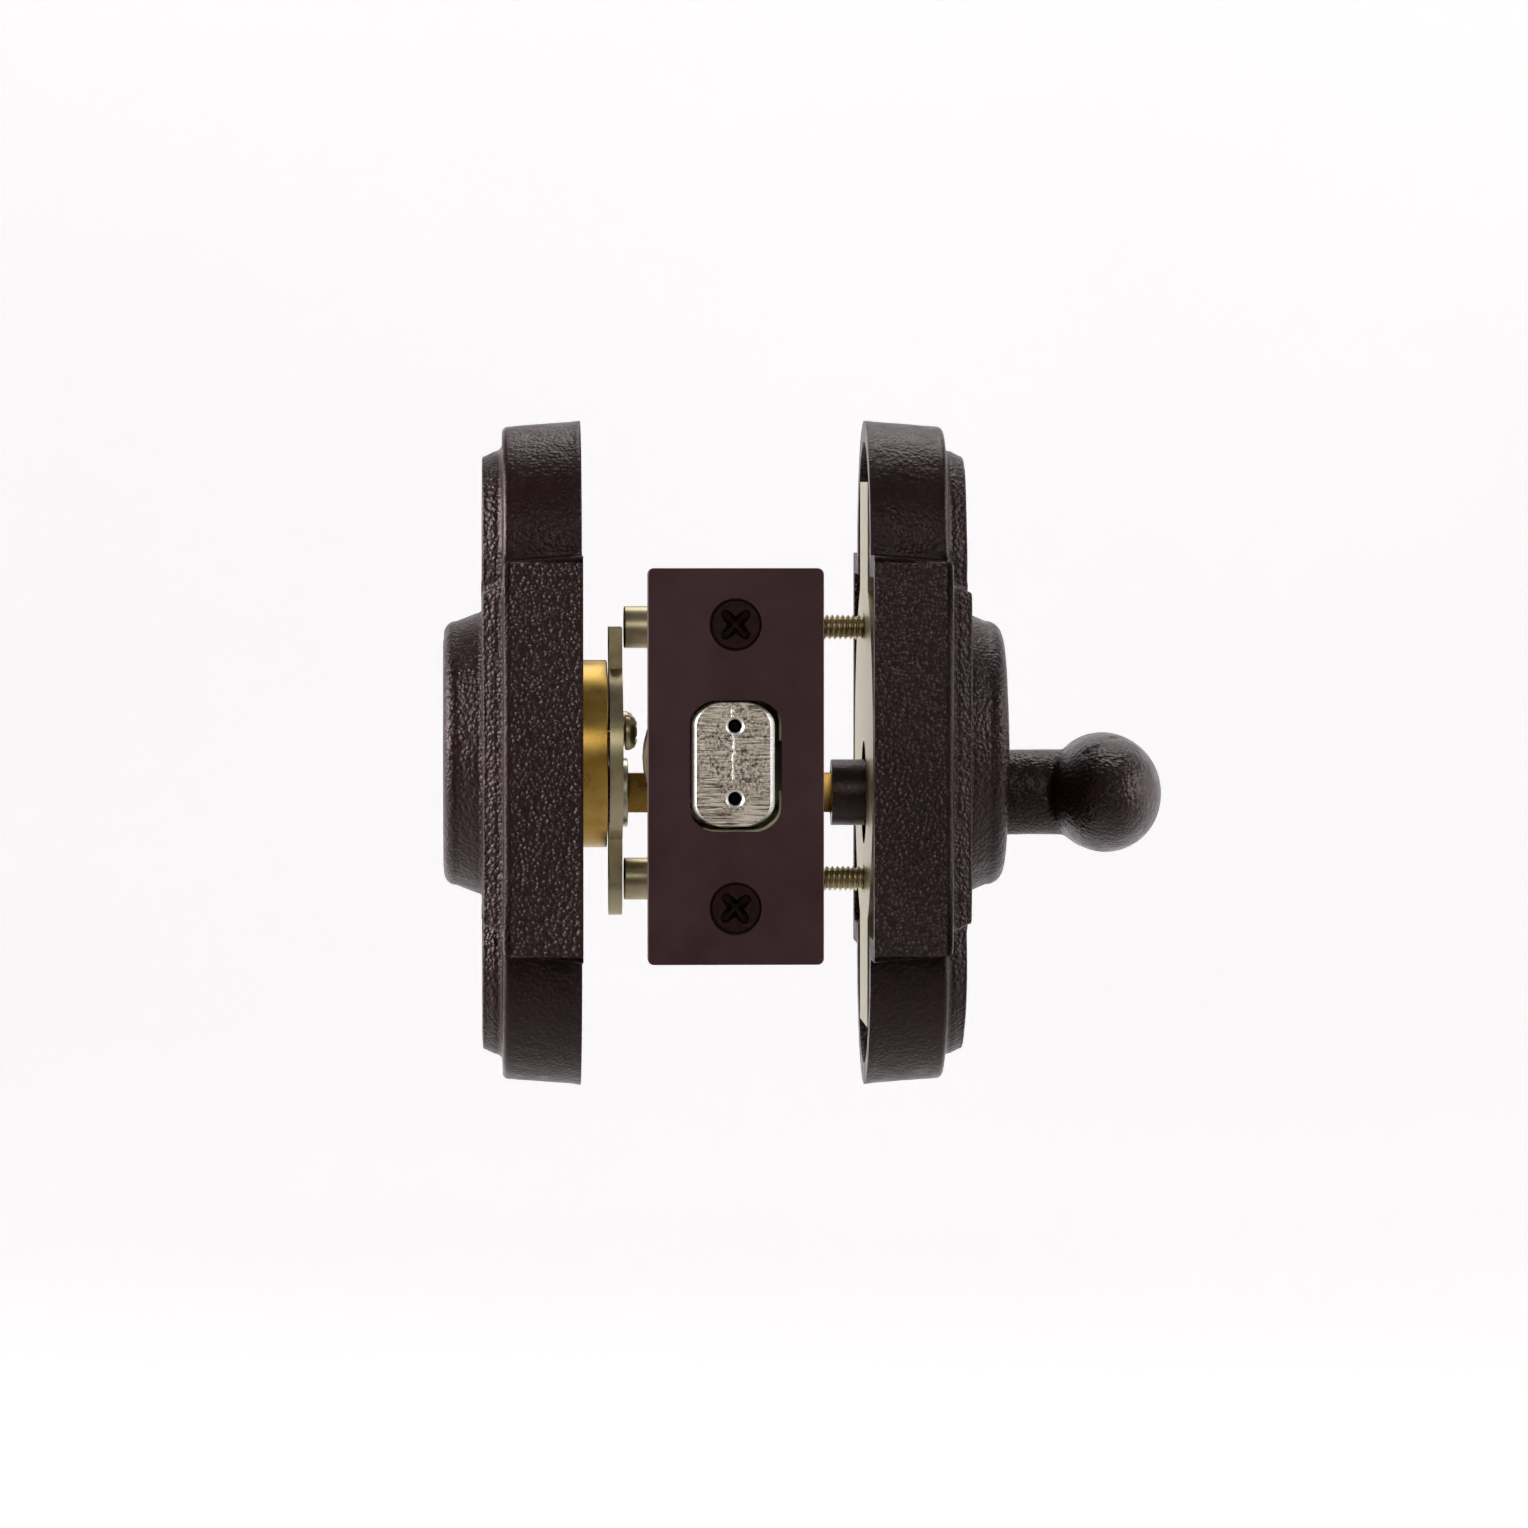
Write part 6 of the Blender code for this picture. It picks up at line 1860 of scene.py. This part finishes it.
def camera() -> None:
    """Places the camera: the photograph's long lens, a little to the outside and above."""
    yaw, pitch = math.radians(2.2), math.radians(2.0)
    level = math.cos(pitch)
    forward = Vector((math.sin(yaw) * level, math.cos(yaw) * level, -math.sin(pitch)))
    target = Vector((4.05 * MM, EDGE_Y, 0.4 * MM))
    distance = 1.1456
    data = bpy.data.cameras.new("camera")
    data.lens = 187.5
    data.sensor_width = 36.0
    data.clip_start = 0.01
    made = bpy.data.objects.new("camera", data)
    made.location = target - forward * distance
    made.rotation_euler = forward.to_track_quat("-Z", "Y").to_euler()
    bpy.context.scene.collection.objects.link(made)
    bpy.context.scene.camera = made


def bowl(name: str, inner: float, low: float) -> bpy.types.Object:
    """Makes a wide open bowl: a flat floor, a quarter circle and a straight wall, round Z.

    Args:
        name: The object's name.
        inner: The radius of its flat floor in metres.
        low: The floor's height.

    Returns:
        The bowl, open at the top.
    """
    corner, wall = 0.9, 1.6
    turn = np.linspace(0, math.pi / 2, 16)
    curve = np.stack([low + corner * (1 - np.cos(turn)), inner + corner * np.sin(turn)], axis=1)
    profile = np.vstack([[[low, 0.02]], curve, [[low + corner + wall, inner + corner]]])
    grid = turned_grid(profile, Axis.Z, (0, 0, 0), 96)
    rows, columns, _ = grid.shape
    return mesh_object(name, grid.reshape(-1, 3), quads(rows, columns, wrap_rows=False))


@dataclass(frozen=True)
class PaleFloor:
    """Matt pale paint with a soft glow of its own, which may be dimmer towards the front."""

    name: str
    front: str
    front_glow: float
    back_glow: float
    start: float = -0.7
    end: float = 1.3

    def material(self) -> bpy.types.Material:
        """Builds faint clouds, and a colour and a glow that change from the front to the back.

        The place between them is Y plus 0.9 of the distance from the middle on X.
        """
        made, tree, shader = new_material(self.name)
        where = add(tree, "TexCoord", out="Object")
        cloud = add(tree, "TexNoise", {"Vector": where, "Scale": per(400.0), "Detail": 2.0})
        stops = ((0.2, "#f4f2f3"), (0.8, "#f8f7f8"))
        pale = add(tree, "ValToRGB", {"Fac": cloud}, stops=stops)
        x = add(tree, "SeparateXYZ", {"Vector": where}, "X")
        y = add(tree, "SeparateXYZ", {"Vector": where}, "Y")
        wide = add(tree, "Math", {0: x}, operation="ABSOLUTE")
        place = add(tree, "Math", {0: wide, 1: 0.9, 2: y}, operation="MULTIPLY_ADD")
        between = {0: place, 1: self.start, 2: self.end}
        back = add(tree, "MapRange", between | {3: 0.0, 4: 1.0})
        colour = {0: back, 6: linear(self.front), 7: pale}
        finish = {
            "Base Color": add(tree, "Mix", colour, 2, data_type="RGBA"),
            "Emission Strength": add(
                tree, "MapRange", between | {3: self.front_glow, 4: self.back_glow}
            ),
            "Emission Color": linear("#fefcfd"),
            "Roughness": 0.9,
        }
        connect(tree, shader, finish)
        return made


def soft_light(name: str, place: Place, size: float, watts: float) -> None:
    """Adds a square white softbox that faces the set.

    Args:
        name: Its name.
        place: Where it stands.
        size: Its side in metres.
        watts: Its power.
    """
    data = bpy.data.lights.new(name, "AREA")
    data.shape = "SQUARE"
    data.size = size
    data.energy = watts
    made = bpy.data.objects.new(name, data)
    made.location = place
    made.rotation_euler = (-Vector(place)).to_track_quat("-Z", "Y").to_euler()
    bpy.context.scene.collection.objects.link(made)


def studio() -> None:
    """A glowing pale bowl round the set, with softboxes above and at both sides.

    The outer bowl lights the set and is dim in front, as a room is behind the one who takes the
    picture. The inner one is pale all round and is only looked at: it lights nothing and shows in
    no reflection.
    """
    outer = bowl("floor", 2.6, -0.30)
    inner = bowl("backdrop", 2.57, -0.29)
    for piece, finish in (
        (outer, PaleFloor("dim_fronted_floor", "#454344", 0.0, 0.38)),
        (inner, PaleFloor("pale_floor", "#f4f2f3", 0.6, 0.38)),
    ):
        piece.data.materials.append(finish.material())
    for ray in ("diffuse", "glossy", "transmission", "shadow"):
        setattr(inner, f"visible_{ray}", False)
    world = bpy.data.worlds.new("studio")
    world.use_nodes = True
    bpy.context.scene.world = world
    background = world.node_tree.nodes["Background"]
    background.inputs["Color"].default_value = linear("#fdfbfc")
    background.inputs["Strength"].default_value = 0.16
    soft_light("key_left", (-1.5, -0.10, 0.50), 1.0, 36.0)
    soft_light("fill_right", (1.5, -0.28, 0.5), 1.0, 8.5)
    soft_light("front", (0.1, -1.8, 0.6), 0.6, 4.0)
    soft_light("top", (0.2, 0.75, 1.35), 0.9, 7.0)
    bpy.context.scene.view_settings.view_transform = "Standard"


def main() -> None:
    """Loads the frame, builds the set piece by piece, and lights it."""
    logging.basicConfig(level=logging.INFO, format="%(message)s")
    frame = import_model()
    camera()
    studio()
    slots = {entry["node"]: entry["material_slot"] for entry in frame["record"]["subparts"]}
    kinds = (CAST, PLATE, SCREW, NICKEL, BRASS, NICKEL_SILVER, ZINC, SPRING)
    finishes = {finish.slot: finish for finish in kinds}
    for node, target in frame["nodes"].items():
        dressed(target.data, finishes[slots[node]])
        LOG.info("%s: CAD solid, finish %s", node, finishes[slots[node]].name)
    for piece in (
        CastRose(Side.EXTERIOR),
        CastRose(Side.INTERIOR, boss_depth=21.0 * MM, boss_round=2.6 * MM),
        Thumbturn(),
        Bolt(),
        BoltCartridge(frame),
        KeyCylinder(),
        Fixings(),
    ):
        piece.build()
        LOG.info("%s is built", type(piece).__name__)
    inner_parts(frame)


if __name__ == "__main__":
    main()
